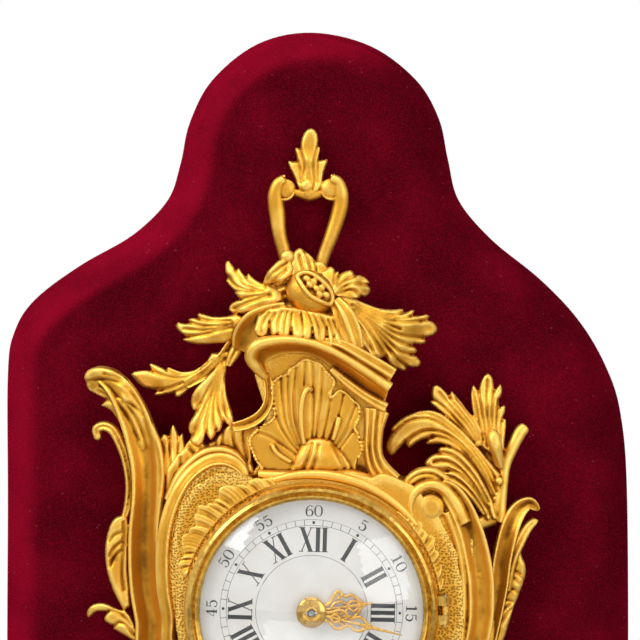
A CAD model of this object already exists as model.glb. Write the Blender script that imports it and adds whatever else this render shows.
import math

import bpy
import numpy as np
from mathutils import Matrix, Vector
from mathutils.geometry import delaunay_2d_cdt


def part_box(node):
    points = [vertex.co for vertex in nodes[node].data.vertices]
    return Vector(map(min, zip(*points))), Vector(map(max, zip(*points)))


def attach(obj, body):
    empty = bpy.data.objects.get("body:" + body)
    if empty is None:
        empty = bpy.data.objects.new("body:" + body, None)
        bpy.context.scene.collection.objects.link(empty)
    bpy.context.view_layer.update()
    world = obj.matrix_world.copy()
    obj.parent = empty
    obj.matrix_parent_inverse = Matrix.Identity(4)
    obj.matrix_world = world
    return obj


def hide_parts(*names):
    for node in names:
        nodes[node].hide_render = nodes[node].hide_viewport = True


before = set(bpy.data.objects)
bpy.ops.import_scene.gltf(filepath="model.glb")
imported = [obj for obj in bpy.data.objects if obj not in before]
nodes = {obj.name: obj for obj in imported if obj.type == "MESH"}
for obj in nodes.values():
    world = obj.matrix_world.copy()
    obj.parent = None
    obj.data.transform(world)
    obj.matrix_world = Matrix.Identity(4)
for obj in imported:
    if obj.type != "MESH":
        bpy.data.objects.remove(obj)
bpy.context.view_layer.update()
scene = bpy.context.scene
mm = 0.001
velvetFront = float(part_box("velvet_cover")[0][1])
print("stage: frame loaded")


# Points are x, z and depth in millimetres, with depth forward of the velvet
def toWorld(points):
    p = np.asarray(points, float)
    return np.column_stack((p[:, 0] * mm, velvetFront - p[:, 2] * mm, p[:, 1] * mm))


def frontDepth(node):
    return (velvetFront - float(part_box(node)[0][1])) / mm


def backDepth(node):
    return (velvetFront - float(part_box(node)[1][1])) / mm


def midDepth(node):
    return (backDepth(node) + frontDepth(node)) / 2


def halfWidth(node):
    low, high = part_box(node)
    return (float(high[0]) - float(low[0])) / 2 / mm


# Materials
def addNode(tree, kind, inputs=None, **settings):
    node = tree.nodes.new(kind)
    for key, value in settings.items():
        setattr(node, key, value)
    for key, value in (inputs or {}).items():
        if isinstance(value, bpy.types.NodeSocket):
            tree.links.new(value, node.inputs[key])
        else:
            node.inputs[key].default_value = value
    return node


def mapped(tree, value, fromLow, fromHigh, toLow, toHigh):
    node = addNode(tree, "ShaderNodeMapRange", {0: value, 1: fromLow, 2: fromHigh, 3: toLow, 4: toHigh},
                   interpolation_type="SMOOTHSTEP")
    return node.outputs[0]


def mixed(tree, factor, a, b):
    node = addNode(tree, "ShaderNodeMix", {0: factor, 6: a, 7: b}, data_type="RGBA")
    return node.outputs[2]


def calc(tree, operation, a, b):
    return addNode(tree, "ShaderNodeMath", {0: a, 1: b}, operation=operation).outputs[0]


def noise(tree, place, scale, detail):
    return addNode(tree, "ShaderNodeTexNoise", {"Vector": place, "Scale": scale, "Detail": detail}).outputs[0]


def cells(tree, place, scale):
    return addNode(tree, "ShaderNodeTexVoronoi", {"Vector": place, "Scale": scale}).outputs[0]


def newGroup(name, inputs, outputs):
    tree = bpy.data.node_groups.new(name, "ShaderNodeTree")
    for label, kind, value in inputs:
        socket = tree.interface.new_socket(label, in_out="INPUT", socket_type="NodeSocket" + kind)
        socket.default_value = value
    for label, kind in outputs:
        tree.interface.new_socket(label, in_out="OUTPUT", socket_type="NodeSocket" + kind)
    return tree, tree.nodes.new("NodeGroupInput").outputs, tree.nodes.new("NodeGroupOutput").inputs


# Linear colour from screen values
def srgb(r, g, b):
    return tuple(
        (c / 255 / 12.92 if c < 10.3 else ((c / 255 + 0.055) / 1.055) ** 2.4) for c in (r, g, b)) + (1.0,)


def castMetalGroup():
    tree, given, result = newGroup(
        "castMetal",
        [("Ridge", "Color", srgb(236, 192, 94)), ("Body", "Color", srgb(212, 154, 52)),
         ("Hollow", "Color", srgb(102, 54, 8)), ("Recess", "Float", 0.5), ("Grain", "Float", 1500.0),
         ("Smooth", "Float", 0.35), ("Rough", "Float", 0.54), ("Dots", "Float", 0.0)],
        [("Colour", "Color"), ("Roughness", "Float"), ("Height", "Float")])
    place = tree.nodes.new("ShaderNodeTexCoord").outputs["Object"]
    apart = addNode(tree, "ShaderNodeSeparateXYZ", {0: place}).outputs
    flat = addNode(tree, "ShaderNodeCombineXYZ", {0: apart[0], 1: apart[2]}).outputs[0]
    punch = addNode(
        tree, "ShaderNodeTexVoronoi", {"Vector": flat, "Scale": 800.0, "Randomness": 0.75},
        voronoi_dimensions="2D").outputs[0]
    pits = calc(tree, "MULTIPLY", mapped(tree, punch, 0.2, 0.42, 1.0, 0.0), given["Dots"])
    broad = noise(tree, place, scale=90.0, detail=3.0)
    fine = noise(tree, place, scale=given["Grain"], detail=3.0)
    dots = cells(tree, place, scale=1100.0)
    shifted = calc(tree, "ADD", given["Recess"], mapped(tree, broad, 0.3, 0.7, -0.06, 0.06))
    deep = mapped(tree, shifted, 0.53, 0.78, 0.0, 1.0)
    high = mapped(tree, shifted, 0.49, 0.3, 0.0, 1.0)
    colour = mixed(tree, high, given["Body"], given["Ridge"])
    colour = mixed(tree, deep, colour, given["Hollow"])
    colour = mixed(tree, calc(tree, "MULTIPLY", pits, 0.5), colour, given["Hollow"])
    tree.links.new(colour, result["Colour"])
    rough = addNode(
        tree, "ShaderNodeMapRange", {0: fine, 1: 0.3, 2: 0.7, 3: given["Smooth"], 4: given["Rough"]})
    tree.links.new(
        calc(tree, "ADD", rough.outputs[0], calc(tree, "MULTIPLY", deep, 0.2)), result["Roughness"])
    height = calc(tree, "ADD", calc(tree, "MULTIPLY", fine, 0.6), calc(tree, "MULTIPLY", dots, 0.5))
    height = calc(tree, "SUBTRACT", height, calc(tree, "MULTIPLY", pits, 1.5))
    tree.links.new(height, result["Height"])
    return tree


def pileGroup():
    tree, given, result = newGroup(
        "velvetPile",
        [("Deep", "Color", srgb(72, 4, 16)), ("Lit", "Color", srgb(126, 9, 31)),
         ("Brushed", "Color", srgb(150, 11, 39)), ("Lint", "Color", srgb(150, 50, 70)),
         ("Nap", "Vector", (-0.6, 0.0, 0.7))],
        [("Colour", "Color"), ("Height", "Float")])
    place = tree.nodes.new("ShaderNodeTexCoord").outputs["Object"]
    cloud = noise(tree, place, scale=38.0, detail=5.0)
    fine = noise(tree, place, scale=1500.0, detail=2.0)
    fleck = cells(tree, place, scale=330.0)
    sparse = noise(tree, place, scale=210.0, detail=0.0)
    tone = calc(
        tree, "ADD", mapped(tree, cloud, 0.3, 0.75, 0.0, 0.45), mapped(tree, fine, 0.4, 0.72, 0.0, 0.62))
    facing = tree.nodes.new("ShaderNodeNewGeometry").outputs["Normal"]
    leaning = addNode(
        tree, "ShaderNodeVectorMath", {0: facing, 1: given["Nap"]}, operation="DOT_PRODUCT").outputs["Value"]
    brushed = calc(
        tree, "MULTIPLY", mapped(tree, leaning, 0.02, 0.42, 0.0, 1.0),
        mapped(tree, fine, 0.25, 0.7, 0.65, 1.0))
    brushed = calc(tree, "MULTIPLY", brushed, mapped(tree, cloud, 0.3, 0.65, 0.6, 1.0))
    colour = mixed(tree, brushed, mixed(tree, tone, given["Deep"], given["Lit"]), given["Brushed"])
    lint = calc(
        tree, "MULTIPLY", mapped(tree, fleck, 0.2, 0.08, 0.0, 1.0), mapped(tree, sparse, 0.62, 0.7, 0.0, 0.6))
    tree.links.new(mixed(tree, lint, colour, given["Lint"]), result["Colour"])
    tree.links.new(calc(tree, "ADD", fine, calc(tree, "MULTIPLY", cloud, 0.8)), result["Height"])
    return tree


def grainGroup():
    tree, given, result = newGroup(
        "finishGrain",
        [("Light", "Color", (0.8, 0.8, 0.8, 1)), ("Dark", "Color", (0.4, 0.4, 0.4, 1)),
         ("Stretch", "Vector", (1, 1, 1)), ("Size", "Float", 600.0), ("Smooth", "Float", 0.2),
         ("Rough", "Float", 0.4)],
        [("Colour", "Color"), ("Roughness", "Float"), ("Height", "Float")])
    place = tree.nodes.new("ShaderNodeTexCoord").outputs["Object"]
    drawn = addNode(
        tree, "ShaderNodeVectorMath", {0: place, 1: given["Stretch"]}, operation="MULTIPLY").outputs[0]
    fine = noise(tree, drawn, scale=given["Size"], detail=4.0)
    broad = noise(tree, place, scale=60.0, detail=2.0)
    tone = calc(tree, "ADD", mapped(tree, fine, 0.3, 0.7, 0.0, 0.6), mapped(tree, broad, 0.3, 0.7, 0.0, 0.4))
    tree.links.new(mixed(tree, tone, given["Dark"], given["Light"]), result["Colour"])
    rough = addNode(
        tree, "ShaderNodeMapRange", {0: fine, 1: 0.3, 2: 0.7, 3: given["Smooth"], 4: given["Rough"]})
    tree.links.new(rough.outputs[0], result["Roughness"])
    tree.links.new(fine, result["Height"])
    return tree


castMetal = castMetalGroup()
velvetPile = pileGroup()
finishGrain = grainGroup()


def setInputs(node, values):
    for key, value in values.items():
        node.inputs[key].default_value = value


def blankMaterial(name, shader):
    material = bpy.data.materials.new(name)
    material.use_nodes = True
    principled = material.node_tree.nodes["Principled BSDF"]
    setInputs(principled, shader)
    return material, material.node_tree, principled


# A value given as a name is read from the mesh attribute of that name
def newMaterial(name, group, values, bump, shader):
    material, tree, principled = blankMaterial(name, shader)
    effect = tree.nodes.new("ShaderNodeGroup")
    effect.node_tree = group
    for key, value in values.items():
        if isinstance(value, str):
            source = addNode(tree, "ShaderNodeAttribute", attribute_name=value)
            tree.links.new(source.outputs["Fac"], effect.inputs[key])
        else:
            effect.inputs[key].default_value = value
    tree.links.new(effect.outputs["Colour"], principled.inputs["Base Color"])
    if "Roughness" in effect.outputs:
        tree.links.new(effect.outputs["Roughness"], principled.inputs["Roughness"])
    if bump:
        raised = addNode(tree, "ShaderNodeBump", {"Strength": bump[0], "Distance": bump[1]})
        tree.links.new(effect.outputs["Height"], raised.inputs["Height"])
        tree.links.new(raised.outputs["Normal"], principled.inputs["Normal"])
    return material


gilt = newMaterial("gilt_bronze", castMetal, {"Recess": "recess"}, (0.22, 0.0003), {"Metallic": 1.0})
punched = newMaterial("gilt_punched", castMetal, {
    "Recess": "recess", "Grain": 900.0, "Smooth": 0.38, "Rough": 0.56, "Dots": "punch",
}, (0.6, 0.0005), {"Metallic": 1.0})
fruitGilt = newMaterial(
    "gilt_fruit", castMetal, {"Recess": "recess", "Grain": 700.0}, (0.5, 0.0004), {"Metallic": 1.0})
bezelBrass = newMaterial("bezel_brass", finishGrain, {
    "Light": srgb(226, 184, 92), "Dark": srgb(176, 128, 46), "Stretch": (1, 1, 1), "Size": 500.0,
    "Smooth": 0.12, "Rough": 0.26}, (0.05, 0.0002), {"Metallic": 1.0})
handGold = newMaterial("hand_gilt", finishGrain, {
    "Light": srgb(240, 196, 100), "Dark": srgb(186, 124, 36), "Size": 1600.0, "Smooth": 0.2, "Rough": 0.4,
}, (0.15, 0.0002), {"Metallic": 1.0})
plainBrass = newMaterial("plain_brass", finishGrain, {
    "Light": srgb(222, 190, 110), "Dark": srgb(170, 132, 62), "Stretch": (0.15, 1, 1), "Size": 1200.0,
    "Smooth": 0.25, "Rough": 0.42}, (0.06, 0.0002), {"Metallic": 1.0})
steel = newMaterial("steel", finishGrain, {
    "Light": srgb(190, 194, 200), "Dark": srgb(120, 124, 130), "Size": 1500.0, "Smooth": 0.2, "Rough": 0.38,
}, (0.05, 0.0002), {"Metallic": 1.0})
darkSteel = newMaterial("dark_steel", finishGrain, {
    "Light": srgb(70, 60, 44), "Dark": srgb(38, 32, 24), "Size": 1500.0, "Smooth": 0.3, "Rough": 0.5,
}, (0.05, 0.0002), {"Metallic": 1.0})
wood = newMaterial("board_wood", finishGrain, {
    "Light": srgb(176, 128, 84), "Dark": srgb(112, 74, 44), "Stretch": (1, 1, 0.06), "Size": 260.0,
    "Smooth": 0.5, "Rough": 0.7}, (0.2, 0.0004), {"Metallic": 0.0})
velvet = newMaterial("red_velvet", velvetPile, {}, (0.5, 0.0006), {
    "Roughness": 0.95, "Sheen Weight": 0.35, "Sheen Roughness": 0.4, "Sheen Tint": srgb(190, 0, 40),
    "Specular IOR Level": 0.0})
enamel = newMaterial("white_enamel", finishGrain, {
    "Light": srgb(240, 237, 231), "Dark": srgb(232, 228, 221), "Size": 120.0, "Smooth": 0.1, "Rough": 0.16,
}, None, {"Metallic": 0.0, "Coat Weight": 0.3, "Coat Roughness": 0.05})
numeralInk = newMaterial("numeral_enamel", finishGrain, {
    "Light": srgb(34, 36, 36), "Dark": srgb(16, 18, 20), "Size": 900.0, "Smooth": 0.25, "Rough": 0.4,
}, None, {"Metallic": 0.0})


# Clear glass that lets lamp light and bounced light through to the dial
def newGlass(name):
    material, tree, principled = blankMaterial(
        name, {"Roughness": 0.02, "Transmission Weight": 1.0, "IOR": 1.45, "Specular IOR Level": 0.2})
    effect = tree.nodes.new("ShaderNodeGroup")
    effect.node_tree = finishGrain
    setInputs(effect, {"Light": (1, 1, 1, 1), "Dark": (0.97, 0.985, 0.98, 1), "Size": 40.0})
    tree.links.new(effect.outputs["Colour"], principled.inputs["Base Color"])
    clear = tree.nodes.new("ShaderNodeBsdfTransparent")
    ray = tree.nodes.new("ShaderNodeLightPath")
    blend = tree.nodes.new("ShaderNodeMixShader")
    passing = calc(tree, "MAXIMUM", ray.outputs["Is Shadow Ray"], ray.outputs["Is Diffuse Ray"])
    tree.links.new(passing, blend.inputs[0])
    tree.links.new(principled.outputs[0], blend.inputs[1])
    tree.links.new(clear.outputs[0], blend.inputs[2])
    tree.links.new(blend.outputs[0], tree.nodes["Material Output"].inputs["Surface"])
    return material


glass = newGlass("clear_glass")
print("stage: materials made")


# Shapes: a part is a list of vertices in x, z and depth, with its faces

# Smooth curve from q to s, with the places before and after them
def between(p, q, s, w, t):
    return q + 0.5 * t * (s - p + t * (2 * p - 5 * q + 4 * s - w + t * (3 * (q - s) + w - p)))


def smoothRows(rows, count):
    r = np.asarray(rows, float)
    last = len(r) - 1
    u = np.linspace(0, last, count)
    i = np.minimum(u.astype(int), last - 1)
    t = (u - i)[:, None]
    p, q, s, w = (r[np.clip(i + k, 0, last)] for k in (-1, 0, 1, 2))
    return between(p, q, s, w, t)


# Profiles across a swept band, u running from -1 to 1
def plainRib(u):
    return np.sqrt(1 - u * u)


def groovedRib(u, cut=0.45, wide=0.24):
    return np.sqrt(1 - u * u) * (1 - cut * np.exp(-(u / wide) ** 2))


def hollowBand(u, edge=0.3, floor=0.28, lip=1.42):
    return (1 - u * u) ** edge * (floor + lip * u * u)


def beadedBand(u, share=0.5, at=0.5, wide=0.3):
    return share * np.sqrt(1 - u * u) + share * np.exp(-((u - at) / wide) ** 2)


def fluted(count, edge=0.35, crest=0.76, cut=0.24):
    return lambda u: (1 - u * u) ** edge * (crest + cut * np.cos(count * math.pi * u))


# Unit vectors to the side of a flat line
def sideOf(line):
    run = np.gradient(line, axis=0)
    run /= np.maximum(np.linalg.norm(run, axis=1, keepdims=True), 1e-6)
    return np.column_stack((-run[:, 1], run[:, 0]))


# Each row is x, z, depth, half width and thickness
def sweep(rows, profile=plainRib, across=14, count=None, under=0.8, perRow=7, least=0.08):
    s = smoothRows(rows, count or perRow * len(rows))
    s[:, 3:5] = np.maximum(s[:, 3:5], least)
    side = sideOf(s[:, :2])
    u = np.cos(np.linspace(math.pi, 0, across + 1))
    back = u[-2:0:-1]
    ring = np.concatenate((u, back))
    height = np.concatenate((profile(u), -under * np.sqrt(1 - back * back)))
    size = len(ring)
    flat = s[:, None, :2] + side[:, None, :] * (ring * s[:, 3:4])[..., None]
    depth = s[:, 2:3] + height * s[:, 4:5]
    verts = np.concatenate((flat, depth[..., None]), axis=2).reshape(-1, 3)
    rings = len(s)
    faces = []
    for a in range(0, (rings - 1) * size, size):
        faces += [(a + k, a + (k + 1) % size, a + size + (k + 1) % size, a + size + k) for k in range(size)]
    faces.append(tuple(range(size - 1, -1, -1)))
    faces.append(tuple((rings - 1) * size + k for k in range(size)))
    return verts, faces


def ball(centre, radius, flatten=1.0, segments=14):
    rings = segments // 2
    verts = [(centre[0], centre[1], centre[2] + radius * flatten)]
    for i in range(1, rings):
        g = math.pi * i / rings
        for k in range(segments):
            a = 2 * math.pi * k / segments
            x = centre[0] + radius * math.sin(g) * math.cos(a)
            z = centre[1] + radius * math.sin(g) * math.sin(a)
            verts.append((x, z, centre[2] + radius * flatten * math.cos(g)))
    verts.append((centre[0], centre[1], centre[2] - radius * flatten))
    faces = []
    for k in range(segments):
        n = (k + 1) % segments
        faces.append((0, 1 + k, 1 + n))
        for i in range(rings - 2):
            a = 1 + i * segments
            faces.append((a + k, a + segments + k, a + segments + n, a + n))
        a = 1 + (rings - 2) * segments
        faces.append((a + k, len(verts) - 1, a + n))
    return np.array(verts), faces


# Radius at the axis of a lathed part, kept off zero
pinhole = 0.01


# Profile of radius and depth turned round an axis
def lathe(profile, centre=(0, 0), segments=96):
    p = np.asarray(profile, float)
    a = np.linspace(0, 2 * math.pi, segments, endpoint=False)
    verts = np.array([(centre[0] + r * math.cos(g), centre[1] + r * math.sin(g), d) for g in a for r, d in p])
    size = len(p)
    faces = []
    for k in range(segments):
        here, there = k * size, (k + 1) % segments * size
        faces += [(here + i, here + i + 1, there + i + 1, there + i) for i in range(size - 1)]
    return verts, faces


def turned(v, degrees):
    c, s = math.cos(math.radians(degrees)), math.sin(math.radians(degrees))
    return np.array((v[0] * c - v[1] * s, v[0] * s + v[1] * c))


def spiral(centre, radius, way, size, lift=1.2, taper=0.35, thinner=0.1):
    outer, inner = radius * size["outer"], radius * size["inner"]
    rows = []
    for i in range(size["steps"]):
        t = i / (size["steps"] - 1)
        a = math.radians(size["start"] + way * size["turn"] * t)
        r = outer + (inner - outer) * t
        rows.append((centre[0] + r * math.cos(a), centre[1] + r * math.sin(a), size["depth"] + lift * t,
                     size["width"] * (1 - taper * t), size["thick"] * (1 - thinner * t)))
    return rows


def joined(parts):
    verts, faces, start = [], [], 0
    for v, f in parts:
        verts.append(np.asarray(v, float))
        faces.extend(tuple(i + start for i in face) for face in f)
        start += len(v)
    return np.concatenate(verts), faces


def newObject(name, points, faces):
    mesh = bpy.data.meshes.new(name)
    mesh.from_pydata([tuple(p) for p in points], [], faces)
    mesh.update()
    obj = bpy.data.objects.new(name, mesh)
    scene.collection.objects.link(obj)
    return obj


# Modifiers are applied and the mesh replaced by the result
def bake(obj):
    graph = bpy.context.evaluated_depsgraph_get()
    mesh = bpy.data.meshes.new_from_object(obj.evaluated_get(graph))
    old = obj.data
    obj.modifiers.clear()
    obj.data = mesh
    mesh.name = obj.name
    if old.users == 0:
        bpy.data.meshes.remove(old)
    return obj


# How far each vertex lies under its smoothed surroundings, as the attribute recess
def markRecess(obj, near=(18, 0.0008), far=(110, 0.0027)):
    mesh = obj.data
    count = len(mesh.vertices)
    place = np.zeros(count * 3)
    mesh.vertices.foreach_get("co", place)
    place = place.reshape(-1, 3)
    normal = np.zeros(count * 3, np.float32)
    mesh.vertex_normals.foreach_get("vector", normal)
    normal = normal.reshape(-1, 3)
    ends = np.zeros(len(mesh.edges) * 2, np.int32)
    mesh.edges.foreach_get("vertices", ends)
    a, b = ends.reshape(-1, 2).T
    degree = np.maximum(np.bincount(np.concatenate((a, b)), minlength=count), 1)
    soft = place.copy()
    value = np.full(count, 0.5)
    for step in range(1, far[0] + 1):
        total = [np.bincount(a, soft[b, k], count) + np.bincount(b, soft[a, k], count) for k in range(3)]
        soft = 0.5 * soft + 0.5 * np.column_stack(total) / degree[:, None]
        for passes, depth in (near, far):
            if step == passes:
                value += 0.5 * np.einsum("ij,ij->i", soft - place, normal) / depth
    value = np.clip(value, 0, 1).astype(np.float32)
    attribute = mesh.attributes.get("recess") or mesh.attributes.new("recess", "FLOAT", "POINT")
    attribute.data.foreach_set("value", value)


# The ground is punched beside the dial and smooth above and below it
def markPunch(obj, left=108, right=34, fade=9):
    turn = [abs(math.degrees(math.atan2(v.co.z, v.co.x))) for v in obj.data.vertices]
    value = [min(max((t - left) / fade, (right - t) / fade, 0), 1) for t in turn]
    obj.data.attributes.new("punch", "FLOAT", "POINT").data.foreach_set("value", value)


# Material, body and slot of a finished piece, and the nodes that it stands in for
def finishPiece(obj, body, material, replaced=()):
    obj.data.materials.clear()
    obj.data.materials.append(material)
    obj.data.shade_smooth()
    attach(obj, body)
    if replaced:
        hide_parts(*replaced)
    return obj


# Overlapping parts become one skin, as a casting has
def oneSkin(obj, voxel, soften):
    remesh = obj.modifiers.new("skin", "REMESH")
    remesh.mode = "VOXEL"
    remesh.voxel_size = voxel * mm
    smooth = obj.modifiers.new("soften", "SMOOTH")
    smooth.factor = 0.5
    smooth.iterations = soften
    bake(obj)


def castPiece(name, parts, replaced, voxel, soften=2, material=gilt, body="clock"):
    verts, faces = joined(parts)
    obj = newObject(name, toWorld(verts), faces)
    oneSkin(obj, voxel, soften)
    markRecess(obj)
    print("cast", name, len(obj.data.polygons))
    return finishPiece(obj, body, material, replaced)


# Velvet over the board, as one open sheet with its edge turned to the back
velvetSize = {
    "left": [
        (0, 251), (-24, 246), (-44, 230), (-54, 211), (-58, 193), (-64, 176), (-80, 160), (-104, 146),
        (-124, 131), (-133, 117), (-136, 98), (-136, 40), (-136, -60), (-132, -98), (-117, -131), (-92, -158),
        (-70, -178), (-58, -200), (-38, -223), (0, -232)],
    "right": [
        (0, 251), (26, 245), (46, 230), (56, 213), (60, 195), (65, 176), (80, 158), (102, 140), (119, 122),
        (131, 102), (138, 80), (141, 40), (141, -60), (137, -98), (121, -131), (95, -158), (72, -178),
        (60, -200), (40, -223), (0, -232)],
    "skin": 1.4, "edge": 9.6, "bevel": 18, "across": 96, "steps": 7, "roll": 2.2, "drop": 1.6,
    "weld": 0.00001}


def velvetSheet(size):
    loop = size["left"] + size["right"][-2:0:-1]
    count = len(loop)
    ring = np.array(loop, float)
    fine = []
    for i in range(count):
        p, q, s, w = (ring[(i + k) % count] for k in (-1, 0, 1, 2))
        for t in np.linspace(0, 1, size["steps"], endpoint=False):
            fine.append(between(p, q, s, w, t))
    fine = np.array(fine)
    along = np.roll(fine, -1, axis=0) - np.roll(fine, 1, axis=0)
    along /= np.linalg.norm(along, axis=1, keepdims=True)
    outward = np.column_stack((along[:, 1], -along[:, 0]))
    outer = fine + outward * size["skin"]
    half = (len(size["left"]) - 1) * size["steps"]
    left = outer[: half + 1]
    right = np.concatenate((outer[:1], outer[:half - 1:-1]))
    v = 0.5 - 0.5 * np.cos(np.linspace(0, math.pi, size["across"] + 1))
    flat = left[:, None, :] * (1 - v[:, None]) + right[:, None, :] * v[:, None]
    shape = flat.shape[:2]
    points = flat.reshape(-1, 2)
    ends = np.roll(outer, -1, axis=0)
    away = np.full(len(points), 1e9)
    for a, b in zip(outer, ends):
        edge = b - a
        t = np.clip(((points - a) @ edge) / (edge @ edge), 0, 1)
        away = np.minimum(away, np.linalg.norm(points - a - t[:, None] * edge, axis=1))
    front = -velvetFront / mm
    slope = np.clip((away - size["roll"]) / (size["bevel"] - size["roll"]), 0, 1)
    rise = size["edge"] + (front - size["edge"]) * (1 - (1 - slope) ** 2)
    rise -= size["drop"] * (1 - np.clip(away / size["roll"], 0, 1)) ** 2
    verts = [(p[0] * mm, -h * mm, p[1] * mm) for p, h in zip(points, rise)]
    wide = shape[1]
    faces = [(j * wide + i, (j + 1) * wide + i, (j + 1) * wide + i + 1, j * wide + i + 1)
             for j in range(shape[0] - 1) for i in range(wide - 1)]
    start = len(verts)
    verts += [(p[0] * mm, 0.0, p[1] * mm) for p in outer]
    total = len(outer)
    rim = [j * wide for j in range(half + 1)]
    rim += [j * wide + wide - 1 for j in range(half - 1, 0, -1)]
    for j in range(total):
        k = (j + 1) % total
        faces.append((rim[j], start + j, start + k, rim[k]))
    faces = [f[::-1] for f in faces]
    return newObject("velvet", verts, faces)


velvetPiece = velvetSheet(velvetSize)
weld = velvetPiece.modifiers.new("weld", "WELD")
weld.merge_threshold = velvetSize["weld"]
bake(velvetPiece)
finishPiece(velvetPiece, "clock", velvet, ["velvet_cover"])

# Case casting with its corners worn round
caseSize = {"voxel": 0.9, "soften": 6, "near": (24, 0.0014), "far": (80, 0.003)}


def caseCasting(size):
    obj = nodes["case_body"].copy()
    obj.data = nodes["case_body"].data.copy()
    obj.name = "case_casting"
    obj.parent = None
    obj.matrix_world = Matrix.Identity(4)
    for key in list(obj.keys()):
        del obj[key]
    scene.collection.objects.link(obj)
    oneSkin(obj, size["voxel"], size["soften"])
    markRecess(obj, size["near"], size["far"])
    markPunch(obj)
    return finishPiece(obj, "clock", punched, ["case_body"])


caseCasting(caseSize)

# Places read off the photo: pixels across and down, with a depth in millimetres
photo = {"middle": 320, "scale": 0.4447, "x": 3.6, "z": 122.6, "reach": 720}


def seen(place):
    px, py, depth = place[:3]
    scale = photo["scale"] * (1 - depth / photo["reach"])
    x = photo["x"] + (px - photo["middle"]) * scale
    z = photo["z"] - (py - photo["middle"]) * scale
    return (x, z, depth) + tuple(place[3:])


def seenAll(rows):
    return [seen(row) for row in rows]


def band(rows, profile=plainRib, across=16, count=None):
    return sweep(seenAll(rows), profile, across, count)


# Ball at a place on the photo, which ends with its radius
def bead(place, flatten=1.0, segments=14):
    return ball(seen(place)[:3], place[3], flatten, segments)


# Ball on the first row of a band, as the eye of its curl
def curlEnd(rows, radius, flatten, segments, lift=0.6):
    x, z, d = seen(rows[0])[:3]
    return ball((x, z, d + lift), radius, flatten, segments)


# Closed slab from a grid of front points and the depth of its back
def slab(grid, back):
    rows, wide = grid.shape[:2]
    low = grid.copy()
    low[..., 2] = back
    verts = np.concatenate((grid.reshape(-1, 3), low.reshape(-1, 3)))
    count = rows * wide
    faces = []
    for j in range(rows - 1):
        for i in range(wide - 1):
            a = j * wide + i
            quad = (a, a + 1, a + wide + 1, a + wide)
            faces += [quad, tuple(count + k for k in quad[::-1])]
    edge = list(range(wide)) + [j * wide + wide - 1 for j in range(1, rows)]
    edge += [(rows - 1) * wide + i for i in range(wide - 2, -1, -1)]
    edge += [j * wide for j in range(rows - 2, 0, -1)]
    for a, b in zip(edge, edge[1:] + edge[:1]):
        faces.append((b, a, count + a, count + b))
    return verts, faces


# Distance from each point to the nearest place on a line
def awayFrom(points, line):
    a, run = line[:-1], np.diff(line, axis=0)
    t = np.clip(((points[:, None] - a) * run).sum(2) / np.maximum((run ** 2).sum(1), 1e-9), 0, 1)
    return np.sqrt(((a + run * t[..., None] - points[:, None]) ** 2).sum(2)).min(1)


# Which points lie inside a closed line
def insideOf(points, line):
    a, b = line[:-1], line[1:]
    crosses = (a[:, 1] > points[:, None, 1]) != (b[:, 1] > points[:, None, 1])
    drop = np.where(b[:, 1] == a[:, 1], 1e-9, b[:, 1] - a[:, 1])
    reach = (points[:, None, 1] - a[:, 1]) / drop * (b[:, 0] - a[:, 0])
    left = points[:, None, 0] < a[:, 0] + reach
    return (crosses & left).sum(1) % 2 == 1


# Leaf traced round its edge, grooved along the lines drawn on it, its depth set at a few places
# Its form is the rise, the width of the rounded rim, the grooves' depth and width, and the thickness
def plate(size, form, step=1.2, clear=0.6, blur=3, fall=2.5, grooveSteps=24):
    rise, roll, cut, wide, thick = form
    edge = np.array(size["edge"] + size["edge"][:1], float)
    rim = []
    for a, b in zip(edge, edge[1:]):
        steps = max(int(np.linalg.norm(b - a) / step), 1)
        rim.append(a + (b - a) * np.linspace(0, 1, steps, endpoint=False)[:, None])
    rim = np.concatenate(rim)
    low, high = edge.min(axis=0), edge.max(axis=0)
    px, py = np.meshgrid(np.arange(low[0], high[0], step), np.arange(low[1], high[1], step))
    px[1::2] += step / 2
    fill = np.column_stack((px.ravel(), py.ravel()))
    fill = fill[insideOf(fill, edge)]
    fill = fill[awayFrom(fill, edge) > clear * step]
    count = len(rim)
    loop = [(i, (i + 1) % count) for i in range(count)]
    found = delaunay_2d_cdt([Vector(v) for v in np.concatenate((rim, fill))], loop, [], 1, 1e-5)
    flat = np.array([tuple(v) for v in found[0]])
    places = np.array(size["depths"], float)
    pull = 1 / (np.sqrt(((flat[:, None] - places[:, :2]) ** 2).sum(2)) + blur) ** fall
    level = (pull * places[:, 2]).sum(1) / pull.sum(1)
    swell = 1 - np.clip(awayFrom(flat, edge) / roll, 0, 1)
    front = level + rise * np.sqrt(1 - swell ** 2)
    if size["grooves"]:
        lines = [smoothRows(line, grooveSteps) for line in size["grooves"]]
        near = np.min([awayFrom(flat, line) for line in lines], axis=0)
        front -= cut * np.exp(-(near / wide) ** 2)
    verts = [seen((x, y, d)) for depths in (front, level - thick) for (x, y), d in zip(flat, depths)]
    total = len(flat)
    sides = {}
    faces = []
    for face in found[2]:
        faces += [tuple(face), tuple(total + i for i in reversed(face))]
        for a, b in zip(face, face[1:] + face[:1]):
            sides[(a, b)] = 1
    for a, b in sides:
        if (b, a) not in sides:
            faces.append((b, a, total + a, total + b))
    return np.array(verts), faces


def plates(size):
    return [plate(size[key], form) for key, form in size["forms"].items()]


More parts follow.
